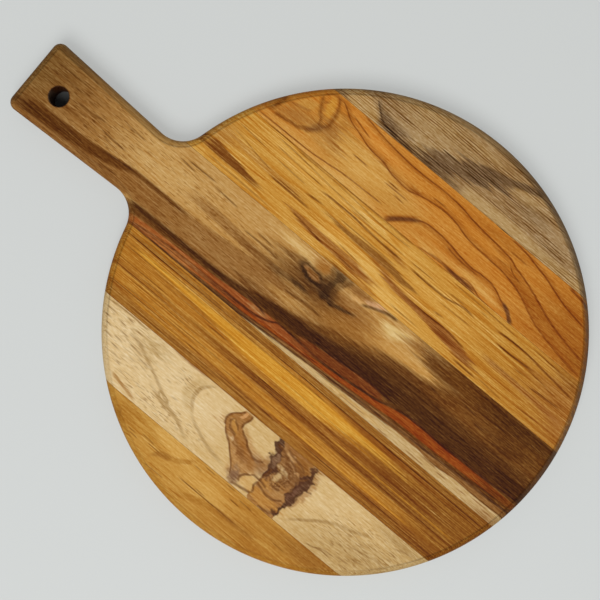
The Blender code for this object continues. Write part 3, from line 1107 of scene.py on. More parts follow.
ruled = [
    (74.8, -128, -60, 0.5), (73.2, -140, -112, 0.75), (72.6, -90, -30, 0.35), (71.0, -108, -18, 0.85),
    (70.6, -6, 52, 0.85), (72.4, 10, 90, 0.5), (69.0, -60, -5, 0.4), (68.6, 58, 78, 0.6),
    (66.6, 24, 50, 0.5), (65.4, 58, 130, 0.5), (62.2, 92, 112, 0.55), (61.7, -112, -40, 0.6),
    (60.2, -130, -20, 0.45), (59.4, -12, 50, 0.6), (57.6, -24, 44, 0.75), (56.3, -10, 32, 0.7),
    (55.9, 66, 82, 0.7), (55.6, 88, 124, 0.55), (54.4, -84, -64, 0.6), (53.2, -60, 20, 0.4),
    (51.2, -132, -112, 0.65), (51.4, 46, 74, 0.6), (49.2, -97, -76, 0.6), (48.6, -50, 20, 0.3),
    (42.6, -130, -70, 0.5), (41.4, -24, 112, 0.6), (40.4, 30, 90, 0.45), (38.8, -150, 148, 0.9),
    (37.6, -60, 60, 0.45), (35.4, -140, 140, 0.5), (63.4, -100, 0, 0.25), (64.8, -40, 40, 0.25),
    (47.4, 40, 120, 0.35), (73.8, 40, 120, 0.5), (67.2, 84, 140, 0.55), (63.6, 40, 92, 0.5),
    (60.6, 60, 128, 0.5), (58.2, 76, 142, 0.6), (53.2, 96, 146, 0.55), (49.4, 60, 112, 0.5),
    (45.6, 96, 148, 0.5), (43.2, 70, 146, 0.4), (37, 64, 140, 0.5),
]
for level, start, end, strength in ruled:
    bow = [(start, level), ((start + end) / 2, level - SAG), (end, level)]
    wood.streak(HAIRLINE, strength, 0.12, 0.5, bow, broken=0.35)
FINISHES["left_wood_1"] = wood.finish(
    fibre=1.15, fine=0.65, speck=0.42, growth=0.18, spacing=3.0, bend=0.3,
)

# %% [markdown]
# ## The golden straight-grained stave
# On the right of the handle stave the gold is clear and even. A few brown mineral streaks drift
# across it at a small angle, and fine dark dashes show where vessels were cut lengthwise.

# %% Golden straight stave
HONEY = paint(201, 148, 66)
SHADED_HONEY = paint(182, 129, 53)
MINERAL = paint(152, 96, 46)
DARK_MINERAL = paint(118, 66, 26)
BRIGHT_HONEY = paint(215, 166, 84)
VESSEL = paint(112, 58, 14)

wood = Wood("honey_heartwood", HONEY, 4.0, lean=(1.6, 0.4), wander=0.35, length=3.0, pores=0.4)
# The first patch darkens the end away from the handle: painted shade, where the light falls off.
wood.patches([
    (SHADED_HONEY, 0.9, (-134, -46), (62, 40)),
    (MINERAL, 0.5, (-146, -52), (34, 24)),
    (MINERAL, 0.5, (-142, -38), (11, 8)),
    (DARK_MINERAL, 0.5, (-134, -66), (14, 5)),
    (MINERAL, 0.5, (139, -46), (9, 9)),
    (MINERAL, 0.4, (-126, -54), (20, 8)),
])
wood.streak(
    BRIGHT_HONEY, 0.85, 3.4, 2.5, [(-30, -30), (-4, -33), (8, -37.5), (30, -41.5), (64, -43.5)],
    fade=18,
)
wood.streak(BRIGHT_HONEY, 0.6, 3.0, 3.0, [(-20, -62), (40, -62), (110, -63)], fade=30)
wood.streak(BRIGHT_HONEY, 0.4, 2.0, 3.0, [(-70, -49), (-40, -51), (0, -53)], fade=20)
wood.streak(
    MINERAL, 0.9, [(-80, 0.8), (-66, 2.0), (-50, 2.6), (-30, 1.6), (0, 1.0), (14, 0.6)], 1.6,
    [(-80, -34.5), (-66, -35.5), (-50, -38), (-30, -40), (0, -42.3), (16, -45)], edge="Feather",
)
wood.patches([
    (DARK_MINERAL, 0.4, (-68, -34.6), (9, 1.4), 0.7, -0.05),
    (DARK_MINERAL, 0.3, (-45, -38), (9, 1.5), 0.7, -0.06),
    (MINERAL, 0.7, (12, -34.8), (8, 1.8)),
    (MINERAL, 0.5, (12, -29.2), (9, 2)),
    (BRIGHT_HONEY, 0.6, (98, -64), (18, 5)),
    (DARK_MINERAL, 0.6, (29, -27.8), (11, 1.2)),
])
wood.streak(
    MINERAL, 0.75, [(5, 0.8), (20, 2.6), (50, 2.0), (78, 0.6)], 1.4,
    [(5, -33), (20, -34.6), (45, -35.6), (80, -38)], edge="Feather",
)
wood.streak(
    DARK_MINERAL, 0.9, [(92, 0.4), (110, 1.2), (128, 2.4), (150, 3)], 1.5,
    [(92, -34), (110, -35.6), (128, -37), (155, -38)], fade=18, edge="Feather",
)
wood.streak(
    DARK_MINERAL, 0.75, [(-22, 0.6), (0, 1.4), (30, 1.2), (62, 0.4)], 1.3,
    [(-22, -46), (0, -48.4), (15, -49), (30, -49), (45, -49.3), (62, -50.2)], edge="Feather",
)
wood.streak(MINERAL, 0.5, 0.8, 1.4, [(-6, -44), (10, -46), (24, -47.4)])
wood.streak(MINERAL, 0.6, 1.0, 1.6, [(-145, -41.5), (-118, -43), (-90, -44), (-70, -44.4)])
wood.streak(MINERAL, 0.5, 0.8, 1.4, [(-8, -54.5), (6, -56), (20, -56.8)])
wood.streak(MINERAL, 0.4, 1.0, 2.0, [(66, -47), (90, -47), (140, -49)], fade=20)
strong = [
    [(-83, -30.6), (-72, -30.4), (-59, -30.6)],
    [(-135, -49), (-125, -48.7), (-107, -47.4)],
    [(-108, -56.6), (-95, -56), (-85, -55.5), (-74, -55.8)],
    [(-138, -58.4), (-125, -59.5), (-105, -61.5), (-95, -62.5), (-85, -62.7), (-69, -61.4)],
    [(-58, -58.4), (-48, -59.3), (-40, -58), (-33, -56.6), (-20, -56.5), (-3, -57)],
    [(-43, -46.3), (-31, -45.7)],
    [(-66, -39.2), (-55, -40.6), (-45, -41.5), (-38, -41.3), (-25, -41), (-8, -41.7)],
    [(59, -52.6), (68, -52), (77, -51.2)],
    [(44, -33.4), (55, -34.5), (65, -36), (77, -37.4)],
    [(18, -33), (40, -34.2)],
    [(64, -45), (80, -45.2), (102, -45.3)],
    [(0, -57.4), (15, -57.3), (30, -58), (45, -59), (60, -59), (70, -58.4)],
]
wood.lines(VESSEL, 0.8, 0.28, 0.7, strong, broken=0.2, fade=8)
faint = [
    [(-34, -31.5), (-20, -31.5), (-7, -32.3)], [(-130, -33.6), (-110, -33.2)],
    [(-104, -30), (-92, -31), (-78, -31.6)], [(-138, -50), (-126, -51.2)],
    [(-106, -45.2), (-78, -44.4)], [(-106, -51.2), (-92, -50.4)],
    [(-126, -53), (-112, -54.6), (-100, -55.4)], [(-66, -64), (-54, -64.6)],
    [(-126, -66), (-110, -67), (-94, -67.5)], [(-86, -66.6), (-30, -67.4)], [(18, -38.6), (42, -40.4)],
    [(-60, -53), (-30, -52.4)], [(30, -62), (55, -63.5), (75, -65), (95, -66.5), (112, -67)],
    [(0, -66.6), (25, -66), (60, -68), (98, -68.6)],
    [(98, -47.6), (115, -50), (125, -52), (137, -53.6)], [(110, -57), (137, -58.6)],
    [(70, -46.6), (98, -47)], [(0, -60.4), (30, -60.8), (50, -61.6)], [(66, -61), (110, -62.6)],
    [(76, -55.2), (104, -56)], [(0, -51.8), (50, -52.8)], [(-24, -60.6), (0, -60)],
    [(84, -30), (140, -31)], [(-50, -61), (-30, -60.6)], [(0, -69), (60, -69.4), (124, -69.6)],
]
wood.lines(VESSEL, 0.5, 0.18, 0.55, faint, broken=0.35, fade=8)
FINISHES["right_wood_1"] = wood.finish(
    fibre=1.1, fine=0.65, speck=0.42, growth=0.35, spacing=4.2, bend=0.6,
)

# %% [markdown]
# ## The orange wavy stave
# This board was sawn close to the bark, so its rings come to the face at a slant: long dark
# waves on strong orange, a loop under the joint, and to the right a swirl round a small limb.

# %% Orange wavy stave
ORANGE = paint(194, 127, 50)
DEEP_ORANGE = paint(160, 97, 35)
APRICOT = paint(198, 147, 72)
PALE_APRICOT = paint(211, 161, 84)
WAVE = paint(118, 56, 4)
WAVE_HALO = paint(150, 84, 28)
LOOP = paint(96, 57, 36)
SWIRL_BROWN = paint(160, 108, 52)
RUSTY_ORANGE = paint(136, 78, 26)
BRIGHT_ORANGE = paint(210, 142, 62)

wood = Wood("orange_waves", ORANGE, 5.0, lean=(0.8, 0.35), wander=0.25, length=1.5, pores=0.3)
# The first deep orange patch darkens the end away from the handle: painted shade, where the light falls
# off.
wood.patches([
    (DEEP_ORANGE, 0.9, (-124, -88), (44, 28)),
    (RUSTY_ORANGE, 0.6, (-126, -78), (12, 7)),
    (APRICOT, 0.95, (56, -85), (46, 13), 0.5, -0.06),
    (PALE_APRICOT, 0.8, (58, -86), (22, 8)),
    (SWIRL_BROWN, 0.8, (88, -91), (9, 8), 0.8, -0.4),
    (SWIRL_BROWN, 0.7, (112, -84), (16, 5), 0.8, 0.2),
    (APRICOT, 0.7, (78, -96), (10, 4), 0.8, -0.45),
    (PALE_APRICOT, 0.8, (-44, -75.6), (16, 2.6), 0.7, -0.05),
    (PALE_APRICOT, 0.6, (-8, -74), (16, 3)),
    (PALE_APRICOT, 0.7, (60, -72), (22, 4.4), 0.7),
    (PALE_APRICOT, 0.6, (104, -73.6), (20, 3.4)),
    (DEEP_ORANGE, 0.8, (-92, -84.5), (34, 3.2), 0.6, -0.28),
    (DEEP_ORANGE, 0.6, (-52, -97), (9, 3.6), 0.7, -0.6),
    (DEEP_ORANGE, 0.5, (-28, -80), (18, 1.8), 0.7, -0.06),
    (DEEP_ORANGE, 0.5, (-42, -107.6), (24, 3.4)),
    (BRIGHT_ORANGE, 0.8, (64, -104), (24, 4.6), 0.8, -0.12),
])
main_wave = [
    (-132, -73), (-120, -73.5), (-110, -75), (-100, -77), (-90, -79.5), (-80, -83.2), (-70, -87.5),
    (-60, -90.5), (-50, -92.3), (-40, -92.8), (-20, -94.3), (-10, -96.8), (0, -97.9), (8, -97.5),
    (15, -96.5), (22, -94.8), (27, -93.4), (35, -93.8), (43, -94.8), (50, -97), (60, -97.7),
    (75, -101.8), (82, -103.7), (90, -108.5), (97, -111.5),
]
second_wave = [
    (-128, -80.6), (-120, -81.5), (-100, -85.5), (-90, -88.3), (-80, -92), (-70, -95.5), (-60, -98.3),
    (-55, -99.5), (-50, -101.5), (-40, -102.8), (-20, -104.6), (0, -107.3), (10, -107.4), (30, -106.8),
    (50, -107.8), (80, -112.5),
]
low_wave = [
    (-114, -97.6), (-105, -99), (-95, -100.5), (-85, -103.2), (-75, -106.2), (-65, -108.5),
    (-55, -110.6), (-40, -111.8),
]
upper_wave = [
    (-70, -75.8), (-62, -77.8), (-55, -80.8), (-48, -82.3), (-42, -82.3), (-35, -81.8), (-25, -82.6),
    (-15, -84.3), (-5, -85.2), (3, -85), (8, -83.8), (12, -81.5),
]
thinning = [(-132, 0.42), (-85, 0.4), (-55, 0.26), (97, 0.22)]
wood.ring(WAVE, WAVE_HALO, main_wave, thinning, below=1.0, spread=2.6, shade=0.45, broken=0.2, fade=8)
wood.ring(WAVE, WAVE_HALO, second_wave, thinning, below=-0.8, shade=0.45, broken=0.2, fade=8)
wood.ring(WAVE, WAVE_HALO, low_wave, half=0.28, shade=0.5, fade=6)
wood.ring(WAVE, WAVE_HALO, upper_wave, half=0.28, shade=0.5, below=-0.9, fade=4)
wood.streak(WAVE_HALO, 0.7, 0.6, 1.6, [(-122, -74.6), (-100, -78.4), (-84, -83), (-66, -90)], fade=10)
wood.patches([
    (WAVE, 0.5, (24, -95.4), (5, 2.2), 0.8, 0.2),
    (WAVE, 0.5, (46, -96), (5, 1.2), 0.8, -0.2),
])
fine_waves = [
    [(-60, -69.8), (-50, -70.6), (-44, -72.6), (-38, -73.6), (-30, -72.4)],
    [(-50, -69.8), (-35, -70.3), (-20, -71.8), (-10, -71.3), (2, -70.2)],
    [(-44, -71), (-32, -72), (-18, -72.6), (-6, -71.8)], [(-42, -80.5), (-30, -80.4), (-12, -82.2)],
    [(33, -76.2), (45, -75.8), (65, -75.3), (75, -74.2), (85, -73.2), (95, -72.5), (132, -72)],
    [(-62, -105), (-45, -105.4)], [(21, -88), (43, -88)], [(29, -89.4), (42, -89.8)],
    [(54, -88.6), (70, -88.8)], [(22, -85), (34, -85.6)], [(-66, -93), (-55, -96), (-49, -100.6)],
    [(-47, -103), (-42, -108)], [(64, -102.6), (84, -107.6)], [(0, -100.4), (14, -100)],
]
wood.lines(WAVE, 0.7, 0.2, 0.6, fine_waves, broken=0.2, fade=5)
wood.streak(
    LOOP, 0.85, [(-78, 1.3), (-70, 0.8), (-62, 0.2)], 1.5,
    [(-78, -68.8), (-73, -72), (-70, -74.6), (-62, -78)], fade=4,
)
wood.streak(LOOP, 0.7, 0.6, 1.2, [(-50, -70.4), (-38, -71.6), (-18, -71.4)], fade=9)
print("waves,", wood.marks, "layers")

# %% [markdown]
# The blot comes where the upper wave climbs back to the joint. The swirl's rings turn across the
# grain, so they are drawn with the two directions exchanged.

# %% The swirl
AMBER = paint(204, 148, 62)
SWIRL_DARK = paint(132, 82, 32)

wood.streak(
    WAVE_HALO, 0.75, 1.4, 2.6, [(9, -83.4), (13, -81), (18, -77.5), (23, -73.6), (29, -68.8)], fade=4,
)
wood.streak(
    LOOP, 0.75, [(6, 0.1), (14, 0.4), (28, 1.0)], 2.0,
    [(6, -84.2), (11, -82), (18, -77.3), (23, -73.3), (29, -68.8)], fade=6,
)
wood.patches([
    (AMBER, 0.85, (97, -102), (3.4, 5.4), 0.4, -1.0),
    (APRICOT, 0.85, (109.5, -94), (6, 3.6), 0.5, 0.4),
], edge="Smooth")
wood.patch(SWIRL_DARK, 0.4, (85, -103.6), (8, 2.6), 0.8, -0.6)
swirls = [
    [(-112, 99), (-107, 94.4), (-101, 91.6), (-93, 90.8), (-88, 94)],
    [(-106, 105.6), (-101.4, 103.6), (-96.7, 100.8), (-92, 97.4), (-87, 96)],
    [(-92, 121), (-87, 122.4), (-82, 124), (-76, 126.6)],
]
wood.lines(SWIRL_DARK, 0.5, 0.5, 2.2, swirls, fade=3, edge="Torn", upright=True)
wood.lines(WAVE, 0.35, 0.2, 1.0, swirls, broken=0.3, fade=2, upright=True)
brow = [(94, -87.4), (96.4, -85), (99, -82.6), (105.4, -79.9), (113, -78.7), (124, -77.4)]
wood.streak(
    SWIRL_DARK, 0.7, [(94, 1.0), (102, 1.0), (110, 0.4), (124, 0.2)], 1.8, brow, fade=5, edge="Torn",
)
wood.streak(WAVE, 0.4, 0.25, 1.0, brow, broken=0.3, fade=4)
wood.patch(LOOP, 0.55, (95.8, -86.4), (4.4, 2.8), 0.8, 0.7, edge="Torn")
edges = [
    [(104, -92.4), (112, -90.4), (120, -88.4)], [(92, -109.6), (100, -109.8), (106, -105)],
    [(98, -104.6), (104, -101)],
]
wood.lines(WAVE, 0.4, 0.3, 1.3, edges, fade=3)
wood.streak(WAVE, 0.8, 0.5, 0.7, [(-110, -108.5), (-98, -110.5), (-88, -111.5)], fade=4)
FINISHES["right_wood_2"] = wood.finish(
    fibre=0.6, fine=0.45, speck=0.42, growth=0.12, spacing=4.0, bend=1.2,
)

# %% [markdown]
# ## The grey outer stave
# The cap on the right is weathered sapwood, grey-tan and close-grained, with bluish-brown stain in
# its middle and a paler corner beyond a curved ring line.

# %% Grey outer stave
GREY_TAN = paint(162, 130, 88)
PALE_TAN = paint(184, 152, 102)
STAIN = paint(118, 91, 62)
DARK_STAIN = paint(94, 68, 43)
CORNER_TAN = paint(190, 157, 106)

wood = Wood("grey_cap", GREY_TAN, 6.0, lean=(0.8, 0.5), wander=0.2, pores=0.4)
wood.streak(PALE_TAN, 0.8, 2.0, 4.0, [(-100, -114), (-60, -115), (-20, -116), (4, -115)], fade=8)
wood.patches([
    (STAIN, 0.15, (-74, -122), (18, 10)),
    (STAIN, 0.4, (-44, -131), (11, 4.4)),
    (PALE_TAN, 0.5, (-30, -139), (14, 4)),
    (PALE_TAN, 0.6, (42, -138), (28, 7)),
    (PALE_TAN, 0.4, (36, -126), (22, 5)),
    (STAIN, 0.85, (25, -117), (15, 5), 0.55, -0.05),
    (STAIN, 0.7, (58, -116), (12, 5), 0.6),
    (PALE_TAN, 0.5, (40, -119.4), (6, 3)),
    (PALE_TAN, 0.5, (4, -142), (14, 4)),
])
wood.streak(
    STAIN, 0.9, [(-24, 0.4), (-12, 4), (-2, 5.6), (10, 5), (36, 2)], 2.6,
    [(-26, -138), (-12, -131), (2, -128), (18, -123), (38, -118)], fade=10, edge="Feather",
)
wood.streak(
    STAIN, 0.9, 1.2, 2.0, [(-44, -146), (-33, -143), (-25, -140.5), (-18, -138), (-8, -136), (4, -133)],
    fade=6,
)
wood.patches([
    (DARK_STAIN, 0.4, (6, -124), (14, 1.6), 0.8, 0.16),
    (DARK_STAIN, 0.6, (64, -118), (6, 3), 0.7, -0.5),
])
wood.patch(CORNER_TAN, 0.95, (84, -117), (15, 7), 0.25, -0.3, edge="Smooth")
wood.ring(
    DARK_STAIN, STAIN, [(52, -113.6), (62, -115), (68, -117), (73, -121), (78.5, -125.6)], half=0.5,
    fade=4,
)
wood.streak(DARK_STAIN, 0.5, 0.6, 1.6, [(0, -114), (30, -113.6), (54, -113.6)], fade=8)
FINISHES["right_wood_3"] = wood.finish(
    fibre=0.5, fine=0.75, speck=0.5, growth=1.1, spacing=1.5, bend=0.12,
)

# %% [markdown]
# ## The handle stave
# The widest stave is the wildest: dark heart on the left, an orange band and a strip of white
# sapwood along its upper edge, a knot near its lower edge, and light tan wood that runs out into
# the handle with one dark streak in it. The broad washes come first, from the tan to the heart.

# %% Handle stave
TAN = paint(190, 146, 84)
CREAM = paint(212, 174, 110)
GOLD_TAN = paint(196, 149, 82)
UMBER = paint(75, 43, 20)
HEART_BROWN = paint(102, 61, 25)
WARM_BROWN = paint(124, 79, 34)
MID_BROWN = paint(140, 95, 48)
SAP_WHITE = paint(192, 161, 110)
SAP_EDGE = paint(142, 98, 52)
EMBER = paint(142, 67, 23)
RUST = paint(122, 65, 29)
SOFT_RED = paint(152, 84, 40)
KNOT = paint(62, 40, 25)
KNOT_BROWN = paint(88, 57, 30)
HANDLE_END_SHADE = paint(124, 91, 48)
INK = paint(58, 28, 12)
SALMON = paint(176, 112, 56)
SALMON_TAN = paint(168, 116, 66)
FLASH = paint(220, 190, 130)
KNOT_GOLD = paint(148, 97, 40)
KNOT_TAN = paint(146, 99, 50)
KNOT_AMBER = paint(170, 114, 46)
KNOT_CREAM = paint(212, 167, 106)
KNOT_PINK = paint(208, 160, 114)
KNOT_HONEY = paint(158, 104, 44)
EYE_TAN = paint(158, 112, 66)
BORE_SHADE = 0.9

wood = Wood("handle_heartwood", TAN, 7.0, lean=(1.0, 0.3), wander=0.25, length=1.2, pores=0.6)
# The brown patches over the handle's end are painted shade, where the light falls off.
wood.patches([
    (CREAM, 0.25, (156, -8), (32, 11), 0.7),
    (MID_BROWN, 0.9, (268, -2), (74, 44), 0.6),
    (HANDLE_END_SHADE, 0.8, (262, -12), (36, 30), 0.7),
])
wood.streak(
    MID_BROWN, 0.8, 9, 3.0, [(30, 12), (60, 11), (85, 13), (120, 16), (150, 17)], fade=25,
    edge="Feather",
)
wood.streak(
    MID_BROWN, 0.6, 2.2, 2.4, [(40, -1), (62, -1), (80, -2.4), (100, -4), (134, -6)], fade=20,
    edge="Feather",
)
wood.streak(
    MID_BROWN, 0.85, 6, 2.0, [(120, 14), (150, 14), (175, 15), (200, 17), (220, 19), (258, 24)],
    fade=20,
)
wood.patches([
    (WARM_BROWN, 0.7, (16, 4), (36, 6), 0.7, 0.08),
    (GOLD_TAN, 0.5, (42, 7), (12, 3), 0.7, 0.05),
])
wood.streak(
    WARM_BROWN, 0.7, 0.8, 1.8, [(54, -1.2), (70, -2), (82, -2.4), (98, -3.4)], fade=12, edge="Feather",
)
wood.streak(
    HEART_BROWN, 0.95, 22, 3.5,
    [
        (-72, 11), (-60, 12), (-50, 13.5), (-40, 14.5), (-28, 16.5), (-15, 20.5), (-5, 24.5), (10, 30),
        (60, 40),
    ],
    fade=8, edge="Feather",
)
wood.streak(HEART_BROWN, 1.0, 90, 2.0, [(-200, 0), (-120, 0), (-50, 0)], fade=16, edge="Feather")
wood.patches([
    (WARM_BROWN, 0.8, (-98, -5), (28, 9)),
    (WARM_BROWN, 0.5, (-140, -4), (16, 5)),
    (UMBER, 0.7, (-130, -23), (34, 6), 0.7, 0.05),
    (UMBER, 0.4, (-124, -10), (20, 5)),
])
wood.streak(
    HEART_BROWN, 0.9, 6.0, 1.5, [(-10, 24), (30, 26), (60, 27.4), (110, 28), (160, 28.4)], fade=10,
)
print("handle stave begun,", wood.marks, "layers")

# %% [markdown]
# Along the upper edge run the youngest rings: a nearly black band, the orange one, and the white
# sapwood with the tan edge that borders it. Their dark outlines go on last.

# %% The orange band and the white strip
wood.streak(UMBER, 0.65, 5, 6.0, [(-160, 3), (-120, 4.4), (-60, 5), (-20, 9), (0, 12)], fade=10)
wood.streak(
    UMBER, 0.95,
    [
        (-160, 4.6), (-60, 4.4), (-40, 3.6), (0, 3.2), (30, 2.6), (60, 1.4), (80, 0.5), (100, 0.3),
        (160, 0.2),
    ],
    2.8,
    [
        (-160, 9), (-60, 9.6), (-40, 10.5), (-20, 11.5), (0, 13.5), (20, 15.6), (45, 17.6), (56, 18.6),
        (66, 20.8), (76, 21.8), (95, 22.4), (125, 22.6), (160, 23.4),
    ],
)
wood.streak(
    EMBER, 0.95,
    [
        (-160, 1.2), (-130, 1.8), (-110, 2.0), (-80, 2.8), (-60, 2.6), (-45, 1.6), (-20, 1.0),
        (20, 1.0), (150, 0.8),
    ],
    0.9,
    [
        (-160, 16.4), (-130, 17.2), (-110, 17.8), (-80, 18.4), (-60, 19.2), (-45, 21.6), (-20, 24.2),
        (0, 26), (40, 29), (100, 30.4), (152, 33),
    ],
)
wood.streak(
    RUST, 0.9, [(-46, 0.6), (-30, 2.6), (0, 2.6), (20, 2.0)], 1.0,
    [(-48, 17), (-30, 17.6), (0, 20.4), (24, 22.4)], fade=8,
)
wood.streak(
    SOFT_RED, 0.95, [(20, 1.4), (40, 2.2), (60, 2.4), (90, 1.8), (150, 1.8)], 0.9,
    [(20, 24.6), (40, 25), (60, 26), (90, 27.6), (120, 28.8), (152, 31)], fade=6,
)
wood.patches([
    (HEART_BROWN, 0.7, (-146, 17), (26, 4)),
    (SALMON, 0.85, (118, 30.2), (40, 2.6), 0.8, 0.04),
])
wood.lines(
    UMBER, 0.5, 0.8, 1.0, [[(-124, 23.2), (-90, 24), (-54, 25)], [(0, 27.6), (20, 29), (46, 31)]],
    fade=10,
)
wood.patches([
    (INK, 0.4, (-2, 13.6), (26, 3), 0.8, 0.12),
    (SOFT_RED, 0.7, (13, 25), (9, 1.5), 0.8, 0.06),
])
wood.patch(SALMON_TAN, 0.8, (51, 24.4), (7, 1.7), 0.4, 0.06, edge="Smooth")
wood.streak(
    SAP_EDGE, 0.85, 1.6, 0.9,
    [(-160, 22.8), (-130, 24), (-100, 25), (-60, 26), (-20, 28.4), (20, 30.8), (60, 33)],
)
wood.streak(
    SAP_WHITE, 1.0, 12, 0.8,
    [
        (-160, 38), (-130, 39.2), (-112, 39), (-98, 40.2), (-90, 40.2), (-80, 39.2), (-66, 39.2),
        (-50, 40), (-40, 40.8), (-20, 41.5), (0, 42.4), (40, 44.6), (64, 46.4),
    ],
    fade=6,
)
wood.patches([
    (CREAM, 0.5, (-30, 31.4), (30, 1.4), 0.7),
    (MID_BROWN, 0.55, (-142, 32.6), (14, 4)),
])
bands = [
    [
        (-160, 20.8), (-130, 22.4), (-115, 22.7), (-80, 24.4), (-40, 26.4), (0, 29), (40, 32),
        (75, 33.2), (150, 33.6),
    ],
    [
        (-160, 11), (-147, 12), (-130, 14), (-110, 14.5), (-90, 15.4), (-66, 15), (-58, 16), (-50, 17),
        (-45, 19), (-38, 20.2), (-28, 21.2), (-18, 22.4),
    ],
    [(-52, 14.4), (-30, 14), (-14, 15.4), (4, 17)],
    [
        (-22, 22), (0, 23.4), (20, 22.8), (36, 22.4), (40, 24.5), (48, 27), (60, 28), (100, 28.6),
        (130, 30), (150, 33),
    ],
    [(43, 24), (52, 22.2), (58, 21.2), (64, 22.4)],
]
wood.lines(INK, 0.75, 0.3, 0.9, bands, broken=0.35, fade=6)
threads = [
    [(-146, 30), (-134, 30)], [(-124, 29.6), (-114, 30.2)], [(-109, 30), (-98, 30.2)],
    [(-92, 32.2), (-74, 32)], [(-64, 33), (-52, 33)], [(-44, 31.6), (-20, 31.8)],
    [(-100, 28.4), (-84, 28.6)], [(-140, 28), (-126, 28.4)],
]
wood.lines(MID_BROWN, 0.7, 0.15, 0.5, threads, fade=4)
darks = [
    [(-60, 27.2), (-30, 28.4), (0, 30.6)], [(-140, 19.6), (-120, 20.6)], [(-148, 10), (-128, 10.4)],
    [(-148, 8), (-120, 8.6), (-106, 8)], [(-104, 6.6), (-90, 7.8)],
    [(-148, 4.4), (-124, 5), (-108, 6.4)], [(-90, 1.6), (-80, 2)], [(-54, 8.4), (-40, 10), (-15, 12.6)],
    [(0, 25.8), (40, 30), (60, 31.4), (100, 32)], [(60, 29.6), (100, 30), (146, 32.6)],
    [(-108, -8), (-96, -8.6)], [(-98, -12.6), (-84, -13.2)], [(-80, -15), (-68, -17.4)],
    [(-72, -8), (-60, -8)], [(-120, -16), (-104, -16.6)], [(-130, -6.4), (-112, -6)],
]
wood.lines(INK, 0.5, 0.2, 0.6, darks, broken=0.3, fade=5)
print("bands,", wood.marks, "layers")

# %% [markdown]
# The knot is where a branch came through: a dark blot, an eye-shaped loop beside it, and light
# wood that swept round it on both sides. Further right one dark streak runs out into the handle.
# The wall of the hanging hole comes last, painted dark as shade.

# %% The knot and the handle's streak
wood.patches([
    (GOLD_TAN, 0.9, (-44, -11.4), (24, 3.4), 0.7, 0.1),
    (GOLD_TAN, 0.7, (-18, -12), (24, 8), 0.8, 0.15),
    (HEART_BROWN, 0.9, (-57, -21.6), (15, 5), 0.7, -0.2),
    (FLASH, 0.95, (-25, -20.2), (8.6, 4.4), 0.7, 0.1),
    (MID_BROWN, 0.6, (-38, -22), (8, 2.4)),
    (KNOT_GOLD, 0.8, (7, -5), (23, 9), 0.7, 0.05),
    (KNOT_TAN, 0.7, (7, -14), (15, 6)),
])
wood.patches([
    (KNOT_AMBER, 0.7, (7, -24.4), (9, 2.6), 0.7),
    (KNOT_CREAM, 0.8, (7.5, -20.6), (4.4, 1.4), 0.6, 0.1),
    (KNOT_PINK, 0.9, (-3.6, -25.2), (7, 1.6), 0.5, 0.2),
    (MID_BROWN, 0.9, (10, -24.8), (10, 2.2), 0.6, 0.1),
], edge="Torn")
wood.patch(CREAM, 0.85, (59, -22.8), (17, 2.8), 0.7, -0.05)
wood.patch(KNOT_HONEY, 0.9, (36.4, -22.6), (6, 4), 0.7, edge="Torn")
wood.patches([
    (HEART_BROWN, 0.6, (54, -8), (18, 8)),
    (HEART_BROWN, 0.6, (53, -15.4), (6, 3)),
    (HEART_BROWN, 0.7, (62, 16), (10, 3), 0.8, 0.15),
])
wood.patches([
    (HEART_BROWN, 0.9, (32, -8), (18, 7)),
    (KNOT_BROWN, 0.85, (33, -12), (13, 5), 0.7),
], edge="Torn")
wood.streak(
    KNOT_BROWN, 0.65, [(-29, 7), (-24, 6), (-20, 4), (-14, 4), (-8, 5)], 4.0,
    [(-30, 24), (-24, 24), (-20, 25), (-14, 26), (-6, 25)], fade=3, edge="Torn", upright=True,
)
wood.streak(
    KNOT, 0.68, [(-27, 2.4), (-24, 2.0), (-20, 0.8), (-15, 1.0), (-10, 1.6)], 2.6,
    [(-29, 25.4), (-24, 24.6), (-20, 25.4), (-15, 26), (-10, 25), (-6, 23)], fade=3, edge="Torn",
    upright=True,
)
wood.streak(
    KNOT, 0.75, 0.4, 1.8, [(0, -12), (8, -10.2), (14, -9), (18, -8.2), (25, -8.8), (33, -10.6)], fade=6,
    edge="Torn",
)
wood.patch(KNOT, 0.85, (41, -4), (7, 1.5), 0.8, -0.03, edge="Torn")
wood.patch(KNOT_BROWN, 0.6, (52, -2.6), (8, 2.2), 0.8, 0.05)
wood.patch(EYE_TAN, 0.85, (40, -15.2), (8.4, 2.0), 0.5, -0.1, edge="Torn")
wood.patch(KNOT, 0.7, (39.5, -14.8), (9.2, 2.9), 0.45, -0.1, edge="Torn", show="Rim")
wood.patches([
    (KNOT_BROWN, 0.55, (42, -18.4), (10, 1.2), 0.8, -0.05),
    (KNOT_BROWN, 0.6, (30.5, -18), (3, 4)),
], edge="Torn")
wood.streak(KNOT, 0.8, 0.4, 1.6, [(29, -12.6), (36, -11.6), (42, -12), (49, -14.6)], fade=3, edge="Torn")
wood.lines(WARM_BROWN, 0.8, 0.2, 0.7, [[(33, -14.6), (44, -15.4)], [(35, -16), (45, -16.4)]], fade=2)
wood.streak(
    KNOT_BROWN, 0.75, 0.3, 1.4, [(-22, -26.8), (-14, -26.2), (-6, -24), (0, -21.6), (5, -19.6)], fade=4,
)
wood.streak(HEART_BROWN, 0.8, 0.3, 0.9, [(16, 2.6), (30, 2), (40, 3), (48, 3.6)], fade=5)
wood.streak(
    HEART_BROWN, 0.9, [(118, 0.3), (160, 0.5), (185, 2.2), (215, 3.2), (256, 4.0)], 2.0,
    [(118, 7), (150, 7), (165, 7.4), (180, 10.8), (200, 13.8), (220, 15.6), (256, 18)], fade=16,
)
wood.patches([
    (UMBER, 0.35, (216, 15), (8, 2.4)),
    (UMBER, 0.5, (246, 18.4), (18, 2.8), 0.7, 0.06),
])
wood.streak(INK, 0.6, 0.2, 0.8, [(158, 7), (172, 8), (182, 8.9), (192, 10)], broken=0.2)
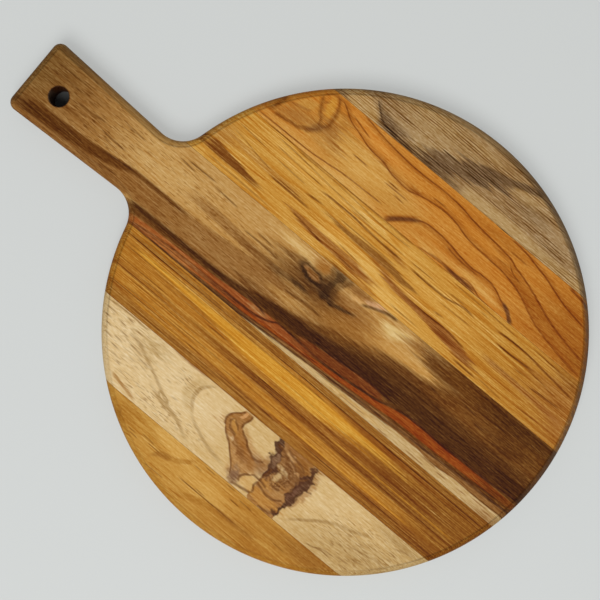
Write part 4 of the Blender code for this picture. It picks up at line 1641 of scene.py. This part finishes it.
grain = [
    [(60, -8), (75, -9), (92, -9)], [(122, 6.9), (140, 6.5), (170, 7.4)], [(100, -17), (124, -18)],
    [(134, -17), (150, -18)], [(66, -12), (84, -13.4)], [(120, -20.4), (146, -20)],
    [(176, 1), (200, 0.4)], [(200, -4), (222, -3.2)], [(186, 3), (198, 2.4)], [(212, 2.4), (218, 2.2)],
    [(196, -4.8), (210, -4.4)], [(170, -12), (190, -12.4)], [(180, 18), (206, 18.6)],
    [(170, 16), (190, 17)], [(206, 19.4), (230, 20.4)], [(222, -10), (248, -9)],
    [(230, -15), (248, -14)],
]
wood.lines(HEART_BROWN, 0.65, 0.22, 0.7, grain, broken=0.4, fade=6)
wood.patches([
    (WARM_BROWN, 0.3, (140, 2), (70, 24), 0.4),
    (HEART_BROWN, 0.3, (215, 0), (44, 24), 0.3),
], through="Pores")
flattened = scaled(wood.tree, wood.place, 1, 1, 0)
from_hole = arrow_sum(wood.tree, "DISTANCE", flattened, (*HOLE_CENTRE, 0))
# Painted shade on the wall of the hanging hole.
wood.layer(ease(wood.tree, from_hole, HOLE_RADIUS, HOLE_RADIUS + MM, BORE_SHADE, 0.0), INK)
FINISHES["handle_wood"] = wood.finish(
    fibre=0.7, fine=0.5, speck=0.4, pores=0.15, growth=0.15, spacing=3.4, bend=0.8,
)

# %% [markdown]
# ## Glue
# What shows of the joints is a dark hairline: the glue that squeezed out was scraped off, and what
# is left has taken up oil and dirt. The film is cut from the same blank as the staves.

# %% Glue finish
glue = Wood("wood_glue", paint(112, 72, 34), 9.0)
FINISHES["glue"] = glue.finish(fibre=0.6, cloud=0.8, growth=0.0)

# %% [markdown]
# ## Cutting the pieces
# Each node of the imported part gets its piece: the ripping tree runs on the blank between that
# node's joints, and the result is kept as a plain mesh that rides on the board and stands for the
# node. The two outermost staves have a joint on one side only, so their box reaches past the rim.

# %% Cutting the pieces
CUTTERS = {"handle_stave": drill}
for beside_crack in ("right_stave_2", "right_glue_line_3", "right_stave_3"):
    CUTTERS[beside_crack] = crack
PAST_RIM = 10 * MM


def socket_key(tree, label):
    """The identifier by which a modifier knows a tree's input."""
    return next(s.identifier for s in tree.interface.items_tree if s.name == label)


def cut_piece(node, name, finish):
    """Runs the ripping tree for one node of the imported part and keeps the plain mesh."""
    low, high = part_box(node)
    low_joint = low.y - (PAST_RIM if low.y - cad_low.y < MM else 0)
    high_joint = high.y + (PAST_RIM if cad_high.y - high.y < MM else 0)
    source = put(node + "_blank", blank)
    modifier = source.modifiers.new("rip", "NODES")
    modifier.node_group = RIP
    settings = {
        "Low joint": low_joint,
        "High joint": high_joint,
        "Thickness": THICKNESS,
        "Cutter": CUTTERS.get(node),
        "Crease angle": SHARP,
        "Wood": finish,
    }
    for label, value in settings.items():
        modifier[socket_key(RIP, label)] = value
    evaluated = source.evaluated_get(bpy.context.evaluated_depsgraph_get())
    mesh = bpy.data.meshes.new_from_object(evaluated)
    mesh.name = name
    bpy.data.objects.remove(source)
    piece = put(name, mesh)
    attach(piece, "root")
    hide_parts(node)
    print(name, len(mesh.polygons), "faces,", round((high.y - low.y) / MM, 1), "mm wide")
    return piece


for node in sorted(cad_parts):
    slot = node.replace("stave", "wood")
    if slot in FINISHES:
        cut_piece(node, node + "_wood", FINISHES[slot])
    else:
        cut_piece(node, node + "_film", FINISHES["glue"])
for cutter in (drill, crack):
    bpy.data.objects.remove(cutter)

# %% [markdown]
# ## Floor
# A pale matt table top. Part of its paleness is its own light, for the camera only and not in the
# hanging hole, so the board's shadow on it stays but is light. At the bottom of the hole the table's
# colour is painted darker, as shade. Seen from below it lets the camera through, so that the board's
# underside can be seen, and it lies a hair under the board and stops no light that starts there, so
# that it is lit too.

# %% Floor
FLOOR_SIDE = 3.0
FLOOR_COLOUR = (0.63, 0.65, 0.64, 1)
OWN_LIGHT = 0.6
FLOOR_ROUGH = 0.7
FLOOR_GLOSS = 0.2
HOLE_SHADE = 0.15
SHADE_ENDS = 1.4 * HOLE_RADIUS
GLOW_STARTS = 2 * HOLE_RADIUS
FLOOR_DROP = 0.05 * MM
UNDERSIDE_REACH = 0.5 * MM

half = FLOOR_SIDE / 2
floor_mesh = bpy.data.meshes.new("floor")
corners = [(-half, -half), (half, -half), (half, half), (-half, half)]
floor_mesh.from_pydata([(x, y, -FLOOR_DROP) for x, y in corners], [], [(0, 1, 2, 3)])
floor = put("floor", floor_mesh)
floor_paint = bpy.data.materials.new("floor_paint")
floor_paint.use_nodes = True
tree = floor_paint.node_tree
shader = tree.nodes["Principled BSDF"]
shader.inputs["Roughness"].default_value = FLOOR_ROUGH
shader.inputs["Specular IOR Level"].default_value = FLOOR_GLOSS
glow = add(tree, "ShaderNodeEmission", Color=FLOOR_COLOUR, Strength=1.0).outputs[0]
place = add(tree, "ShaderNodeTexCoord").outputs["Object"]
from_hole = arrow_sum(tree, "DISTANCE", place, (*HOLE_CENTRE, 0))
# Painted shade: the table's colour darkens at the bottom of the hole.
deep = ease(tree, from_hole, HOLE_RADIUS, SHADE_ENDS, HOLE_SHADE, 1.0)
feed(tree, shader.inputs["Base Color"], arrow_sum(tree, "SCALE", FLOOR_COLOUR[:3], deep))
open_table = ease(tree, from_hole, HOLE_RADIUS, GLOW_STARTS, 0.0, OWN_LIGHT)
path = add(tree, "ShaderNodeLightPath").outputs
own_light = sum_of(tree, "MULTIPLY", path["Is Camera Ray"], open_table)
lit = shader_mix(tree, own_light, shader.outputs[0], glow)
clear = add(tree, "ShaderNodeBsdfTransparent").outputs[0]
below = add(tree, "ShaderNodeNewGeometry").outputs["Backfacing"]
from_underside = sum_of(tree, "LESS_THAN", path["Ray Length"], UNDERSIDE_REACH)
below = sum_of(tree, "MAXIMUM", below, from_underside)
feed(tree, tree.nodes["Material Output"].inputs["Surface"], shader_mix(tree, below, lit, clear))
floor_mesh.materials.append(floor_paint)
print("floor", FLOOR_SIDE, "m")

# %% [markdown]
# ## Light
# Soft daylight comes from one side, the left of the board, over an even sky. The sky and the lamp
# together give a level of about 1 at the board's middle, so a colour renders as it is written. Below
# the table the sky is brighter, for the underside alone. The camera, and anything shiny, sees the
# surroundings in the floor's own pale grey.

# %% Light
SKY = 0.39
SKY_BELOW = 0.9
HORIZON = (-0.1, 0.0)
SURROUNDINGS = FLOOR_COLOUR
KEY_SIZE = 1.0
KEY_POWER = 26
KEY_PLACE = Vector((-0.3, 0.85, 1.6))

world = bpy.data.worlds.new("studio")
world.use_nodes = True
tree = world.node_tree
even = tree.nodes["Background"]
even.inputs["Color"].default_value = (1, 1, 1, 1)
direction = add(tree, "ShaderNodeTexCoord").outputs["Generated"]
height = split(tree, direction)["Z"]
feed(tree, even.inputs["Strength"], ease(tree, height, *HORIZON, SKY_BELOW, SKY))
seen = add(tree, "ShaderNodeBackground", Color=SURROUNDINGS, Strength=1.0).outputs[0]
ray = add(tree, "ShaderNodeLightPath").outputs
looking = sum_of(tree, "MAXIMUM", ray["Is Camera Ray"], ray["Is Glossy Ray"])
looking = sum_of(tree, "MAXIMUM", looking, ray["Is Transmission Ray"])
mixed = shader_mix(tree, looking, even.outputs[0], seen)
feed(tree, tree.nodes["World Output"].inputs["Surface"], mixed)
bpy.context.scene.world = world
key_lamp = bpy.data.lights.new("key", "AREA")
key_lamp.size = KEY_SIZE
key_lamp.energy = KEY_POWER
key = put("key", key_lamp)
key.location = KEY_PLACE
key.rotation_mode = "QUATERNION"
key.rotation_quaternion = (-KEY_PLACE).to_track_quat("-Z", "Y")
bpy.context.scene.view_settings.view_transform = "Standard"
print("sky", SKY, "lamp", KEY_POWER, "W")
